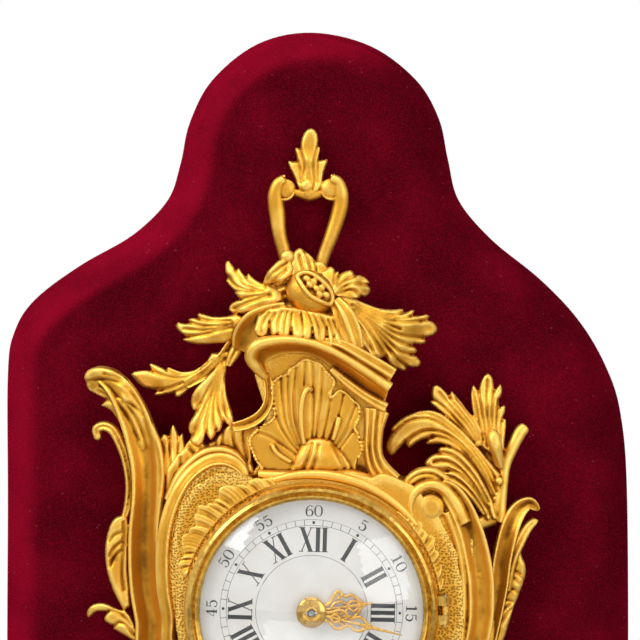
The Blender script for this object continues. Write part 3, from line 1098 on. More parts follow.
# Tall scroll at the left edge
leftSize = {
    "band": [
        (91, 379, 10, 2.4, 3), (99, 374, 11.4, 3.6, 3.8), (112, 380, 13, 5, 4.6), (123, 393, 14, 5.8, 5.2),
        (132, 410, 14, 6.6, 5.6), (139, 428, 14, 7, 6), (144, 448, 14, 7, 6), (147, 470, 14, 6.6, 6.2),
        (147, 500, 14, 6.4, 6.4), (145, 530, 14, 6.8, 6.6), (145, 560, 14, 7, 6.6), (147, 590, 14, 7, 6.6),
        (152, 620, 14, 7, 6.6)],
    "tail": [
        (-69.6, -18, 14, 6.8, 6.6), (-66, -30, 14, 6.4, 6.4), (-60, -43, 14, 6, 6.2), (-51, -60, 14, 5.6, 6),
        (-41.5, -77, 13, 5.2, 5.6), (-35.5, -92, 12, 4.6, 5), (-36.5, -104, 10, 4, 4.5),
        (-44, -110, 9, 3.2, 4), (-51, -106, 8, 2.2, 3)],
    "eye": (-49, -104, 9.4), "eyeRadius": 3.6, "strapEye": 1.9, "eyeFlat": 0.9,
    "strap": [
        (98, 436, 9, 1.9, 2.4), (97, 429, 9.4, 2.1, 2.8), (105, 426, 10.4, 2.3, 3),
        (114, 431, 11.4, 2.4, 3.4), (122, 446, 12, 2.4, 3.6), (127, 462, 12, 2.2, 3.6),
        (130, 482, 12, 2.1, 3.6), (129, 502, 12, 2, 3.4), (125, 517, 12, 1.6, 2.8)],
    "ridge": [
        (152, 424, 17, 1.0, 1.8), (160, 448, 18, 1.2, 2.2), (163, 474, 18, 1.2, 2.2),
        (161, 500, 18, 1.2, 2.2), (158, 530, 18, 1.2, 2.2), (157.5, 560, 18, 1.2, 2.2),
        (160, 595, 18, 1.2, 2.2), (166, 632, 17, 1, 1.8), (171, 652, 14, 0.3, 0.6)],
    "topLeaf": {
        "edge": [
            (84.3, 378), (85, 373.5), (88, 370), (92.5, 367.7), (98, 366.8), (104, 367), (110, 368.5),
            (116, 371), (122, 375), (128, 380), (133.5, 386.5), (138.5, 393), (142, 400), (146, 411),
            (150, 423), (154, 432.5), (157, 440), (158, 460), (154, 476), (138, 476), (134, 465),
            (130.5, 450), (126, 437), (121, 426), (118.5, 420.5), (115, 415), (111, 410.5), (106.5, 407.5),
            (101, 405.5), (104, 402.5), (107, 399), (100, 396), (94, 393), (89, 390.3), (87, 386),
            (86.3, 382)],
        "grooves": [
            [(87, 381.5), (95, 380), (103, 379), (112, 380), (121, 383)],
            [(104, 374), (116, 377), (126, 384), (134, 393), (142, 406)],
            [(121, 383), (130, 390), (138, 401), (146, 420), (152, 440)],
            [(122, 402), (130, 404), (137, 409), (142.5, 414.5)],
            [(100, 386), (112, 392), (122, 400), (132, 412), (141, 430), (147, 452)],
            [(107, 399), (117, 406), (126, 420), (133, 437), (139, 458)],
            [(98, 391), (110, 397), (120, 406), (130, 421), (138, 440)]],
        "depths": [
            (86, 376, 13), (98, 369, 15.5), (112, 372, 17.5), (92, 388, 9.5), (100, 391, 11), (104, 404, 12),
            (128, 384, 18), (125, 400, 18), (140, 410, 17), (120, 418, 15), (150, 440, 15), (140, 462, 12.5),
            (138, 474, 9), (153, 474, 9)]},
    "flap": {
        "edge": [
            (124, 514), (121, 515.3), (117, 516.5), (113, 520), (109.6, 526), (107.2, 534), (105.6, 543),
            (105, 552), (105.5, 562), (107, 571.5), (109.6, 581), (113, 590), (117, 598), (121, 605.5),
            (124, 610), (131, 606), (130, 590), (128, 570), (128, 550), (129, 530), (128, 518)],
        "grooves": [
            [(123, 532), (115, 535), (110, 541)], [(123, 541), (115, 547), (110, 556)],
            [(122, 550), (114, 557), (110.5, 566)], [(124, 522), (123.5, 545), (122, 570), (124, 590)]],
        "depths": [
            (107, 550, 13.4), (118, 520, 13.6), (117, 560, 11), (112, 585, 12.4), (126, 560, 12),
            (123, 605, 12)]},
    "lowLeaf": {
        "edge": [
            (88.5, 617.8), (86.8, 614), (87.5, 610), (90, 606.5), (94, 603.8), (99, 602.6), (105, 603),
            (110, 605), (115, 607.6), (121, 610), (126, 610), (131, 616), (136, 628), (141, 642), (134, 641),
            (126, 636), (119, 632), (113.3, 628.5), (114.5, 625.6), (110, 624), (105.5, 621.5), (104, 618.5),
            (106, 614.5), (108.8, 611), (103, 611), (98, 611), (94.5, 612.5), (91.5, 615.5)],
        "grooves": [
            [(108.8, 611), (115, 611.5), (122, 615), (131, 625)],
            [(114.5, 625.6), (119, 622.5), (126, 625), (134, 635)]],
        "depths": [
            (88, 616, 7), (96, 605, 9), (110, 608, 10.4), (105, 618, 9.6), (114, 628, 9.6), (130, 625, 12)]},
    "foot": [(-74, 30, 10, 3, 3), (-64, 29, 12, 4, 4), (-54, 28, 13, 4, 4)],
    "lowFoot": [(-66, -26, 11, 3, 3), (-60, -25, 12, 4, 4), (-51, -24, 13, 4, 4)],
    "upright": {
        "edge": [
            (160, 476), (160, 450), (160.2, 438), (163.5, 434), (166.5, 434.8), (169.3, 437.5),
            (170.2, 431.5), (171.5, 427), (173, 424.3), (175.3, 427), (177.3, 432.5), (178.6, 437),
            (181, 434.5), (182.6, 432.8), (183.6, 438), (184.6, 446), (187, 460), (186, 476)],
        "grooves": [[(169.3, 437.5), (169.5, 450), (171, 472)], [(178.6, 437), (178, 450), (177, 472)]],
        "depths": [(163, 436, 15), (173, 426, 15.4), (182, 435, 15.4), (174, 468, 18)]},
    "web": {
        "edge": [
            (157, 446), (163, 466), (186, 466), (192, 464), (181, 480), (174, 500), (169, 525), (166, 545),
            (156, 545), (156, 500)],
        "grooves": [[(164, 470), (165, 490), (162, 515), (160, 540)], [(178, 472), (171, 488), (166, 508)]],
        "depths": [(160, 460, 14.6), (184, 468, 18), (172, 492, 17), (160, 530, 15)]},
    "forms": {
        "web": (1, 4, 0.7, 2, 4), "topLeaf": (2.6, 8, 1.0, 1.9, 3), "flap": (2, 3.4, 0.9, 1.8, 2.4),
        "lowLeaf": (1.6, 4, 1, 1.8, 2.4), "upright": (1.5, 4, 1, 1.5, 3)}}


def leftParts(size):
    parts = [
        sweep(seenAll(size["band"]) + size["tail"], hollowBand, across=28, count=240),
        ball(size["eye"], size["eyeRadius"], size["eyeFlat"], segments=20),
        band(size["strap"], groovedRib, across=14, count=80),
        band(size["ridge"], plainRib, across=10, count=90), sweep(size["foot"]), sweep(size["lowFoot"])]
    return parts + plates(size) + [curlEnd(size["strap"], size["strapEye"], size["eyeFlat"], segments=16)]


castPiece("leftScroll", leftParts(leftSize), ["left_scroll"], voxel=0.44)

# Scrolled rims of the case, with the frilled ground outside the left one
rimSize = {
    "left": [
        (245, 482, 28.6, 1.4, 2.6), (243, 472, 29, 2.4, 3.4), (236, 464.5, 29, 2.9, 4),
        (225, 460, 29, 3.1, 4.2), (211, 461, 29, 3.2, 4.4), (197, 469, 29, 3.2, 4.4),
        (184, 483, 29, 3.3, 4.4), (173, 505, 29, 3.4, 4.4), (166, 531, 29, 3.4, 4.4),
        (163.5, 558, 29, 3.5, 4.4), (164.5, 588, 28.6, 3.5, 4.4), (169, 616, 28.2, 3.3, 4.4)],
    "leftTail": [
        (-61, -14, 28, 3.2, 4.2), (-57, -24.5, 28.4, 3.2, 4.2), (-50, -34, 29, 3.1, 4),
        (-42.4, -45, 29.4, 3, 4), (-36, -58, 29.4, 2.9, 3.8), (-30.6, -71, 29.4, 2.8, 3.6),
        (-25, -84, 29.2, 2.6, 3.4), (-17.6, -96, 29, 2.1, 3), (-9, -103, 28.6, 1, 1.8)],
    "outer": [
        (246, 466, 22, 1.4, 2.6), (236, 455, 22, 1.8, 3), (222, 450, 22, 2, 3), (206, 452, 22, 2, 3),
        (191, 462, 22, 2, 3), (178, 478, 22, 2, 3), (168, 500, 22, 1.8, 3)],
    "ground": {
        "edge": [
            (184, 448), (187.5, 442), (191, 438), (200, 440), (206, 444), (214, 440), (222, 431), (227, 426),
            (233, 423), (240, 421.5), (250, 423), (259, 427), (256, 438), (252, 448), (252, 462), (256, 478),
            (246, 472), (236, 460), (222, 455), (206, 457), (192, 467), (180, 484), (172, 502), (166, 500),
            (166, 470), (176, 456)],
        "grooves": [
            [(187.5, 446), (196, 456), (196, 462)], [(206, 444), (209, 452)],
            [(222, 433), (222, 444), (228, 453)], [(233, 425), (233, 440), (240, 456)],
            [(244, 423), (243, 438), (248, 460)], [(180, 458), (182, 474)], [(214, 440), (216, 451)]],
        "depths": [
            (190, 442, 16.5), (206, 445, 18), (226, 428, 19), (246, 424, 20.4), (256, 440, 22),
            (250, 470, 22), (206, 456, 20), (176, 480, 19)]},
    "leftFloor": {
        "edge": [
            (252, 488), (245, 478), (237, 469), (225, 465), (211, 466), (198, 474), (187, 487), (178, 506),
            (171.5, 531), (169, 558), (170, 588), (174, 616), (183, 648), (200, 648), (190, 600), (194, 560),
            (206, 530), (224, 507), (246, 492)],
        "grooves": [],
        "depths": [
            (215, 470, 30.6), (176, 540, 30.6), (176, 600, 30.6), (215, 505, 31.2), (194, 560, 31.2),
            (190, 620, 31.2), (248, 486, 31)]},
    "rightFloor": {
        "edge": [
            (404, 488), (412, 479), (424, 474.5), (436, 476), (448, 482), (460, 495), (469, 514), (474, 540),
            (474, 570), (472, 600), (470, 648), (446, 648), (450, 640), (450, 630), (447, 585), (440, 560),
            (428, 533), (412, 508)],
        "grooves": [],
        "depths": [
            (425, 480, 26), (462, 505, 28), (468, 560, 29.6), (466, 620, 29.6), (430, 530, 30.8),
            (447, 590, 30.8), (448, 636, 29)]},
    "right": [
        (440, 484, 29, 2.6, 3.4), (450, 492, 29, 4.4, 4.4), (460, 507, 29, 5.2, 4.8),
        (469, 528, 28.6, 5.5, 5), (475.5, 552, 28, 5.8, 5), (480, 580, 28, 5.8, 5), (480.5, 610, 28, 5.6, 5)],
    "rightTail": [
        (71.2, -10, 28, 5.4, 5), (68.6, -20, 27.6, 5.3, 5), (62.6, -33, 27.4, 4.8, 4.8),
        (53, -46, 27.8, 4.2, 4.4), (44, -57, 28.4, 3.6, 4), (37, -69, 28.8, 3.2, 3.8),
        (30.4, -81, 29, 2.9, 3.6), (22.4, -93, 29, 2.4, 3.2), (14.6, -101, 28.8, 1.8, 2.6),
        (8, -104, 28.4, 0.8, 1.6)],
    "boss": (431, 507, 29.6), "bossRadius": 6.1,
    "bossProfile": [(1, -4), (1, 0.6), (0.86, 2), (0.5, 2.9)],
    "bossTop": 3.2, "seat": (38, 107, 56.9, 2.3, 31.2, 2.4), "leftEye": 1.6, "groundForm": (1.4, 4, 1, 2, 6),
    "floorForm": (0.5, 3, 1.0, 1.9, 3),
    "wrap": [
        (421, 524, 29, 1.0, 2), (412, 515, 29.4, 1.5, 2.6), (410.5, 504, 29.8, 1.9, 3),
        (414, 493.5, 30, 2.2, 3.2), (422, 486.5, 30.2, 2.4, 3.4), (432, 484.5, 30.2, 2.6, 3.6),
        (442, 488, 30, 2.9, 3.8), (450, 496, 29.6, 3.4, 4), (457, 507, 29.2, 3.8, 4.2),
        (464, 523, 28.6, 3.6, 4)],
    "inner": [
        (446, 512, 30, 1.6, 2.6), (453, 528, 30, 1.9, 2.8), (459, 548, 29.6, 1.9, 2.8),
        (463, 575, 29, 1.9, 2.8), (463, 610, 29, 1.9, 2.8), (461, 645, 28.6, 1.8, 2.8)],
    "hump": [
        (405, 487, 27, 1.6, 2.4), (411, 479, 28, 2.4, 3), (421, 473.5, 28.6, 2.8, 3.2),
        (434, 474, 28.6, 2.8, 3.2), (447, 482, 28, 2.4, 3)],
    "rightFoot": [(72, 14, 26, 4, 3.6), (66, 14, 26, 4, 3.6), (58, 14, 26, 4, 3.6)]}


def leftRimParts(size):
    return [sweep(seenAll(size["left"]) + size["leftTail"], beadedBand, across=18, count=220),
            curlEnd(size["left"], size["leftEye"], 1.0, segments=14),
            band(size["outer"], plainRib, across=12, count=90), plate(size["ground"], size["groundForm"])]


def rightRimParts(size):
    x, z, d = seen(size["boss"])
    r = size["bossRadius"]
    boss = [(r * share, d + rise) for share, rise in size["bossProfile"]]
    boss = [(pinhole, boss[0][1])] + boss + [(pinhole, d + size["bossTop"])]
    return [
        sweep(seenAll(size["right"]) + size["rightTail"], hollowBand, across=24, count=220),
        band(size["hump"], groovedRib, across=14, count=50), sweep(size["rightFoot"]),
        band(size["inner"], plainRib, across=10, count=90), band(size["wrap"], plainRib, across=14, count=70),
        lathe(boss, (x, z), segments=48)]


# Fixed moulding round the top of the bezel
def seatRows(low, high, radius, half, depth, thick, steps=15, start=0.12, swell=0.3):
    turn = np.radians(np.linspace(low, high, steps))
    fade = np.sin(np.linspace(start, math.pi - start, steps)) ** swell
    return [
        (radius * math.cos(t), radius * math.sin(t), depth, half * f, thick * f) for t, f in zip(turn, fade)]


floors = [plate(rimSize[key], rimSize["floorForm"]) for key in ("leftFloor", "rightFloor")]
markPunch(castPiece("groundFloor", floors, [], voxel=0.5, material=punched))
castPiece("seatMoulding", [sweep(seatRows(*rimSize["seat"]), count=120)], [], voxel=0.4)
castPiece("leftRim", leftRimParts(rimSize), ["left_c_scroll"], voxel=0.42)
castPiece("rightRim", rightRimParts(rimSize), ["right_c_scroll"], voxel=0.45)

# Frilled ground between the bezel and the rims
ruffleSize = {
    "inner": 54.6,
    "sides": [(104, 164, 8.2, 13), (6, 46, 4.6, 9)],
    "depth": 32.5, "back": 29.5, "perFlute": 14, "across": 16, "scallop": 0.1, "uneven": 0.2, "lean": 0.045,
    "wave": 0.5, "ripple": 0.22, "fall": 0.6}


def ruffleParts(size):
    parts = []
    for low, high, reach, flutes in size["sides"]:
        steps = size["perFlute"] * flutes
        g = np.radians(np.linspace(low, high, steps))[:, None]
        t = np.linspace(0, 1, size["across"])[None, :]
        u = np.linspace(0, 1, steps)
        sway = math.pi * flutes * u + 1.4 * np.sin(13 * u) + 0.7 * np.sin(29 * u)
        wave = (np.abs(np.cos(sway)) * 2 - 1)[:, None]
        ends = np.sin(math.pi * u)[:, None] ** 0.5
        uneven = size["uneven"] * np.sin(23 * u + 6 * u * u)[:, None]
        r = size["inner"] + t * reach * ends * (1 + size["scallop"] * wave + uneven)
        a = g + size["lean"] * t * t
        ripple = size["ripple"] * np.cos(6 * math.pi * flutes * u + 4 * np.sin(9 * u))[:, None]
        swell = (size["wave"] * wave + ripple) * np.sin(math.pi * (0.15 + 0.75 * t))
        depth = size["depth"] + swell - size["fall"] * t
        parts.append(slab(np.stack((r * np.cos(a), r * np.sin(a), depth), axis=2), size["back"]))
    return parts


castPiece("ruffle", ruffleParts(ruffleSize), [], voxel=0.38, soften=1)

# Spray and leaf on the right
spraySize = {
    "sweepLeaf": {
        "edge": [
            (391.5, 455.3), (388, 453), (386.2, 448.5), (386.6, 443), (389, 437), (392.3, 431.7),
            (390.6, 429.4), (393, 426), (398, 421.3), (404.5, 416.8), (412, 413.2), (420, 410.9),
            (428, 410.2), (434, 411), (441, 413.8), (447, 417.8), (455, 424.5), (463, 431.5), (471, 440),
            (480, 450), (490, 462), (500, 474), (502, 500), (499, 520), (494, 520), (490, 506), (483, 490),
            (474, 472), (465, 459), (457, 451), (449, 446), (441, 444), (433, 444.2), (427, 444.5),
            (425.5, 442.8), (428, 439.8), (431.8, 436.6), (425, 438.8), (419.5, 441), (415, 443.8),
            (412, 446.3), (409, 447.9), (406.6, 446), (405.3, 442.4), (401.5, 446), (398, 450), (395, 453.8)],
        "grooves": [
            [(392.3, 431.7), (400, 425), (410, 420), (422, 418), (435, 420), (448, 427), (460, 437),
             (472, 450), (486, 470), (496, 492)],
            [(405.3, 442.4), (412, 436.5), (422, 431.5), (433, 430.5), (444, 433), (456, 440), (468, 451),
             (482, 470), (494, 496)],
            [(431.8, 436.6), (440, 436.8), (450, 440), (460, 447), (472, 460), (484, 480), (493, 502)],
            [(418, 413.6), (428, 413.8), (440, 418.5), (455, 429.5), (468, 442), (482, 458), (497, 482)]],
        "depths": [
            (390, 452, 11), (392, 430, 12), (412, 416, 13), (410, 440, 13), (428, 442, 13), (430, 415, 14),
            (440, 430, 15.6), (460, 440, 14.6), (480, 465, 14), (495, 500, 13.4)]},
    "lowLeaf": {
        "edge": [
            (424.3, 463), (426, 460), (429.5, 456.5), (434, 454), (439.5, 452.7), (437.5, 450.3),
            (440, 447.3), (446, 446.8), (453, 448.5), (461, 453), (469, 461), (478, 473), (487, 489),
            (494, 504), (498, 520), (488, 521), (480, 512), (472, 501.5), (463, 491.5), (455, 485.5),
            (447, 482.5), (441.5, 479), (438.5, 475.3), (441, 472.5), (447.5, 470.6), (440, 471.2),
            (434, 470.4), (429, 468.7), (425.8, 465.8)],
        "grooves": [
            [(447.5, 470.6), (456, 472), (465, 478), (475, 490), (486, 508), (491, 519)],
            [(439.5, 452.7), (448, 453.5), (457, 458), (467, 468), (478, 483), (488, 502)],
            [(434, 462), (442, 461), (453, 464), (464, 473), (476, 488), (488, 509)],
            [(445, 476), (454, 479), (464, 486), (475, 498), (486, 515)]],
        "depths": [
            (425, 463, 16.6), (438, 450, 16), (440, 476, 17.4), (452, 462, 18), (470, 480, 17),
            (490, 512, 14.6)]},
    "second": {
        "edge": [
            (431.7, 390), (432.8, 386.3), (436.5, 384.8), (441, 387.4), (445.5, 391.8), (450, 397.6),
            (450.3, 392.5), (451.5, 390.8), (455.5, 395), (460.5, 401), (465.5, 408), (470.5, 414),
            (475, 418.5), (482, 430), (484, 446), (476, 448), (466, 438), (456, 427), (448, 419),
            (441, 412.8), (436, 408.6), (432, 405), (429.8, 400.8), (434.3, 400.8), (432, 397.5),
            (431.4, 393.5)],
        "grooves": [
            [(434.3, 400.8), (442, 406), (452, 415), (464, 428), (475, 442)],
            [(450, 397.6), (455, 404), (463, 414), (472, 426), (479, 440)],
            [(439, 392), (447, 402), (457, 413), (468, 426), (477, 441)],
            [(456, 398), (464, 409), (473, 421), (480, 436)]],
        "depths": [(433, 388, 8), (430, 401, 9), (452, 392, 9.4), (452, 408, 11.4), (478, 440, 12.6)]},
    "upright": {
        "edge": [
            (472, 408), (471, 400), (470.7, 393), (471.6, 388), (473.5, 384.9), (476, 388), (478.5, 392),
            (479.3, 388), (480.2, 383.5), (482, 379), (484.5, 375.3), (487.7, 373.4), (490.8, 375),
            (492.8, 379), (493.7, 384.5), (494, 391.5), (496.5, 388.2), (498.7, 385.5), (500.3, 383.8),
            (501.8, 387), (502.1, 392), (500.6, 396.5), (498.7, 400), (499.2, 408), (501.5, 406.3),
            (504, 405), (505.4, 407), (505, 412), (503.2, 416.5), (502.2, 421), (504, 419.2), (505.8, 419),
            (506.1, 425), (505.2, 433), (504.2, 441), (504, 450), (494, 455), (482, 448), (476, 432),
            (474, 417)],
        "grooves": [
            [(478.5, 392), (480, 402), (482, 415), (485, 430), (488, 446)],
            [(494, 391.5), (493, 402), (492, 415), (492, 430), (493, 446)],
            [(498.7, 400), (497.3, 412), (496.5, 426), (497, 442)],
            [(502.2, 421), (500.5, 430), (499.5, 442)], [(487.5, 380), (487, 397), (487.5, 416), (490, 438)],
            [(474, 392), (475.5, 405), (479, 422), (484, 440)]],
        "depths": [
            (487, 375, 9.6), (473, 386, 9.6), (500, 386, 8.4), (504, 407, 8.6), (487, 405, 11.4),
            (490, 445, 12.4)]},
    "centre": {
        "edge": [
            (470, 438), (478, 431), (487, 430), (496, 437), (503, 447), (504, 470), (501.5, 495), (499, 521),
            (489, 521), (484, 495), (478, 466)],
        "grooves": [[(484, 436), (492, 460), (496, 490), (496, 516)]],
        "depths": [(475, 438, 12), (487, 450, 10.6), (500, 460, 10.6), (495, 500, 12.6)]},
    "rod": [
        (526.3, 425.6, 6.6, 1.0, 1.2), (525.4, 426.6, 6.8, 2.2, 2.2), (523, 429, 7, 2.8, 2.6),
        (519, 434, 7.6, 2.9, 2.8), (511, 450, 9, 2.7, 2.8), (505, 466, 10.4, 2.5, 2.8),
        (502, 490, 12, 2.4, 2.8), (500, 522, 13, 2.4, 2.8)],
    "bud": [
        (492, 429, 15, 1.6, 2), (493, 435, 16.4, 2.8, 3), (495, 445, 17, 3, 3.2), (498, 456, 16, 2.2, 2.6),
        (501, 468, 14.6, 1.2, 1.8)],
    "knot": (499, 481, 15.4, 1.9),
    "foot": [(80, 36, 12, 3, 3), (70, 33, 12, 3, 3), (52, 30, 12, 3, 3)],
    "forms": {
        "sweepLeaf": (2, 5.5, 1.3, 2, 2.6), "lowLeaf": (2, 5, 1.3, 2, 2.6), "second": (1.5, 5, 1, 1.6, 2.2),
        "upright": (1.5, 5, 1, 1.6, 2.2), "centre": (1, 4, 0.8, 2, 3)}}


def sprayParts(size):
    parts = [
        band(size["rod"], plainRib, across=14, count=60), band(size["bud"], plainRib, across=14, count=40),
        sweep(size["foot"])]
    return parts + plates(size) + [bead(size["knot"], segments=16)]


castPiece("spray", sprayParts(spraySize), ["right_spray"], voxel=0.42)

# Scroll and leaf at the right edge
outerSize = {
    "band": [
        (536.6, 511, 8.6, 0.7, 1.2), (536, 508, 9, 1.7, 2.2), (529, 503, 10, 2.8, 2.8),
        (518, 510, 12, 3.8, 3.2), (509, 528, 14, 4.2, 3.8), (502, 556, 15, 4.2, 4), (498, 585, 15, 4.2, 4),
        (493, 612, 15, 4, 4), (486, 645, 15, 3.8, 4)],
    "second": [
        (536, 518.6, 8.8, 0.7, 1), (534.6, 520.6, 9, 1.7, 2), (527, 528, 11, 2.3, 2.6),
        (519, 542, 13, 2.6, 3), (511, 562, 14, 2.4, 3.2), (506, 590, 14, 2.2, 3.2)],
    "leaf": {
        "edge": [
            (520.5, 551), (522, 557), (525, 563), (526, 570), (525, 577), (523, 583), (520.5, 590),
            (518, 597), (514, 606), (511, 616), (508, 626), (505, 636), (500, 648), (491, 648), (491, 630),
            (494, 615), (498, 600), (501, 585), (503, 575), (506, 568), (511, 564), (516, 557)],
        "grooves": [
            [(504, 577), (510, 571.5), (517, 571.5), (524, 578)],
            [(501, 590), (507, 580.5), (514, 578), (521, 583)],
            [(500, 598), (506, 591), (513, 589), (519, 593)], [(498, 606), (504, 600), (513, 602)],
            [(492, 620), (500, 612), (510, 604)], [(492, 632), (502, 620), (511, 609)],
            [(517, 557), (514.5, 566)]],
        "depths": [
            (518, 556, 11), (525, 572, 10.6), (510, 583, 14), (515, 600, 12.6), (500, 620, 13.6),
            (498, 642, 13)]},
    "tail": [(66, -43, 13, 1, 2), (71.6, -33, 14, 2.4, 3.4), (77, -20, 14, 3.4, 4), (76.6, -8, 14, 3.4, 4)],
    "foot": [(82, -10, 12, 3, 3), (70, -12, 12, 3, 3), (58, -14, 12, 3, 3)],
    "forms": {"leaf": (1.8, 4.5, 1, 1.7, 2.4)}}


def outerParts(size):
    parts = [
        band(size["band"], hollowBand, across=18, count=80),
        band(size["second"], groovedRib, across=14, count=50), sweep(size["tail"]), sweep(size["foot"])]
    return parts + plates(size)


castPiece("outerLeaf", outerParts(outerSize), ["right_outer_leaf"], voxel=0.42)

# Lower leaves, scroll, pendant and apron: a leaf is a spine, a count of lobes and a reach
lowerSize = {
    "leftLeaves": [
        ([(-60, -33, 11), (-80, -52, 12), (-88.6, -77, 6)], 5, 13.5),
        ([(-45, -73, 11), (-60, -88, 12), (-68.6, -107, 6)], 4, 10.5)],
    "rightLeaves": [
        ([(65, -37, 11), (82, -54, 12), (92.6, -79, 6)], 5, 13.5),
        ([(47, -75, 11), (62, -90, 12), (70.6, -108, 6)], 4, 10.5)],
    "rightPath": [
        (66, -40, 13, 4.4, 5), (58.5, -55, 14, 5.4, 6), (49, -70, 13, 5.4, 6), (40.5, -84, 12, 5, 5.4),
        (37, -97, 11, 4.4, 4.8), (41, -107, 9, 3.6, 4), (49, -109, 8, 2.8, 3.4), (53, -103, 7, 2, 2.8)],
    "rightEye": (51, -102.6, 9),
    "foot": [(52, -66, 13, 4, 4), (42, -65, 13, 4, 4), (28, -62, 13, 4, 4)],
    "core": [
        (-32, -97, 11, 3, 4), (-16, -107, 13, 5, 6), (0, -110, 15, 6, 8), (16, -107, 13, 5, 6),
        (33, -99, 11, 3, 4)],
    "drops": [
        ([(0, -108, 15), (0, -128, 19), (0, -153, 9)], 5, 14.5),
        ([(-10, -108, 15), (-22, -120, 15), (-27.4, -137, 7)], 3, 9),
        ([(10, -108, 15), (22, -120, 15), (27.4, -137, 7)], 3, 9)],
    "apron": (0, -99, 31), "apronTurns": (139, 122, 106, 90, 74, 58, 41),
    "apronReach": (30, 34, 36, 37, 36, 34, 30), "apronCut": 0.8, "apronFoot": 5, "apronRoot": 3,
    "apronRise": 0.6, "apronFall": 0.4, "apronForm": (2, 6, 1.2, 2, 3), "eyeRadius": 3.6,
    "pearls": [((0, -156.4, 8), 3.6, 18), ((0, -163, 7.4), 2.3, 14)],
    "ballFlat": 0.9}

# Growth of a lobed leaf, with places along its spine counted in steps
leafSize = {
    "steps": 61, "midrib": (3, 20, 36, 52), "first": 4, "span": 44, "last": 56, "ahead": 5, "notch": 0.62,
    "firstNotch": 0.3, "tip": 1.1, "vein": 0.2, "veinBack": (5, 12), "levels": (0, 15, 30, 45, 60),
    "form": (1.7, 5, 1, 1.7, 2.2)}


# Pixels at which a place given in millimetres would be seen
def onPhoto(x, z, depth):
    scale = photo["scale"] * (1 - depth / photo["reach"])
    px = photo["middle"] + (x - photo["x"]) / scale
    return np.array((px, photo["middle"] - (z - photo["z"]) / scale))


# Edge of round lobes from notches and tips taken in turn
def lobedEdge(places):
    edge = []
    for a, tip, b in zip(places[:-2:2], places[1:-1:2], places[2::2]):
        centre = (a + b) / 2
        for g in np.linspace(0, math.pi, 9)[:-1]:
            edge.append(tuple(centre - (b - a) / 2 * math.cos(g) + (tip - centre) * math.sin(g) ** 0.8))
    return edge + [tuple(places[-1])]


# Leaf grown along a spine, lobed on both sides, with a groove from each notch
def grown(spine, lobes, reach, size=leafSize):
    fine = smoothRows(spine, size["steps"])
    flat = np.array([onPhoto(*row) for row in fine])
    side = sideOf(flat) * reach / photo["scale"]
    rows, grooves = [], [[tuple(flat[k]) for k in size["midrib"]]]
    for way in (1, -1):
        row = []
        for i in range(lobes + 1):
            k = int(size["first"] + size["span"] * i / lobes)
            ahead = min(k + int(size["span"] / lobes) + size["ahead"], size["last"])
            wide = way * (0.55 + 0.45 * math.sin(math.pi * (0.2 + 0.8 * i / lobes)))
            notch = flat[k] + side[k] * wide * (size["notch"] if i else size["firstNotch"])
            row.append(notch)
            if i < lobes:
                row.append(flat[ahead] + side[ahead] * wide * size["tip"])
            if i:
                near, far = (flat[max(k - back, 0)] for back in size["veinBack"])
                grooves.append([tuple(notch), tuple(near + side[k] * wide * size["vein"]), tuple(far)])
        rows.append(row)
    edge = lobedEdge(rows[0] + [flat[-1]] + rows[1][::-1])
    depths = [(flat[k][0], flat[k][1], fine[k][2]) for k in size["levels"]]
    return plate({"edge": edge, "grooves": grooves, "depths": depths}, size["form"])


def leavesOf(rows):
    return [grown(*row) for row in rows]


# Fan of lobes over the foot of the case
def apronLeaf(size):
    x, z, d = size["apron"]
    turns, reaches = size["apronTurns"], size["apronReach"]

    def around(reach, angle):
        return onPhoto(*(np.array((x, z)) + turned((reach, 0.0), angle)), d)

    places = [onPhoto(x - size["apronFoot"], z, d)]
    for i, (angle, reach) in enumerate(zip(turns, reaches)):
        places.append(around(reach, angle))
        if i < len(turns) - 1:
            cut = size["apronCut"] * min(reach, reaches[i + 1])
            places.append(around(cut, (angle + turns[i + 1]) / 2))
    places.append(onPhoto(x + size["apronFoot"], z, d))
    root = onPhoto(x, z + size["apronRoot"], d)
    grooves = [[tuple(v), tuple(v * 0.4 + root * 0.6), tuple(root)] for v in places[2:-1:2]]
    depths = [tuple(root) + (d + size["apronRise"],), tuple(places[len(turns)]) + (d - size["apronFall"],)]
    return plate({"edge": lobedEdge(places), "grooves": grooves, "depths": depths}, size["apronForm"])


def rightScrollParts(size):
    return leavesOf(size["rightLeaves"]) + [
        sweep(size["rightPath"], fluted(3), across=22, count=80), sweep(size["foot"]),
        ball(size["rightEye"], size["eyeRadius"], size["ballFlat"], segments=20)]


def pendantParts(size):
    pearls = [ball(place, radius, size["ballFlat"], segments) for place, radius, segments in size["pearls"]]
    return leavesOf(size["drops"]) + [sweep(size["core"])] + pearls


castPiece("lowerLeftLeaves", leavesOf(lowerSize["leftLeaves"]), ["lower_left_leaves"], voxel=0.5)
castPiece("lowerRightScroll", rightScrollParts(lowerSize), ["lower_right_scroll"], voxel=0.5)
castPiece("pendantDrop", pendantParts(lowerSize), ["pendant"], voxel=0.5)
castPiece("apronShell", [apronLeaf(lowerSize)], ["apron_shell"], voxel=0.5)
print("stage: castings made")

# Dial marks, raised a little over the dial's dome
dialSize = {
    "radius": halfWidth("dial"), "edge": frontDepth("dial") - 2.0, "top": frontDepth("dial"), "raise": 0.04,
    "turn": -1.5, "trackInner": 35.8, "trackOuter": 38.3, "trackLine": 0.16, "tick": 0.22, "dotAt": 37.05,
    "dot": 0.62, "ringInner": 23.4, "minuteAt": 41.9, "minuteHigh": 4.5, "minuteWide": 3.3, "hourLow": 24.8,
    "hourHigh": 35.0, "thick": 1.75, "thin": 0.42, "serif": 0.34, "gap": 1.15, "vWide": 5.4, "xWide": 5.6,
    "minutePitch": 1.14, "minuteShift": 0.07, "minuteWeight": 1.25}


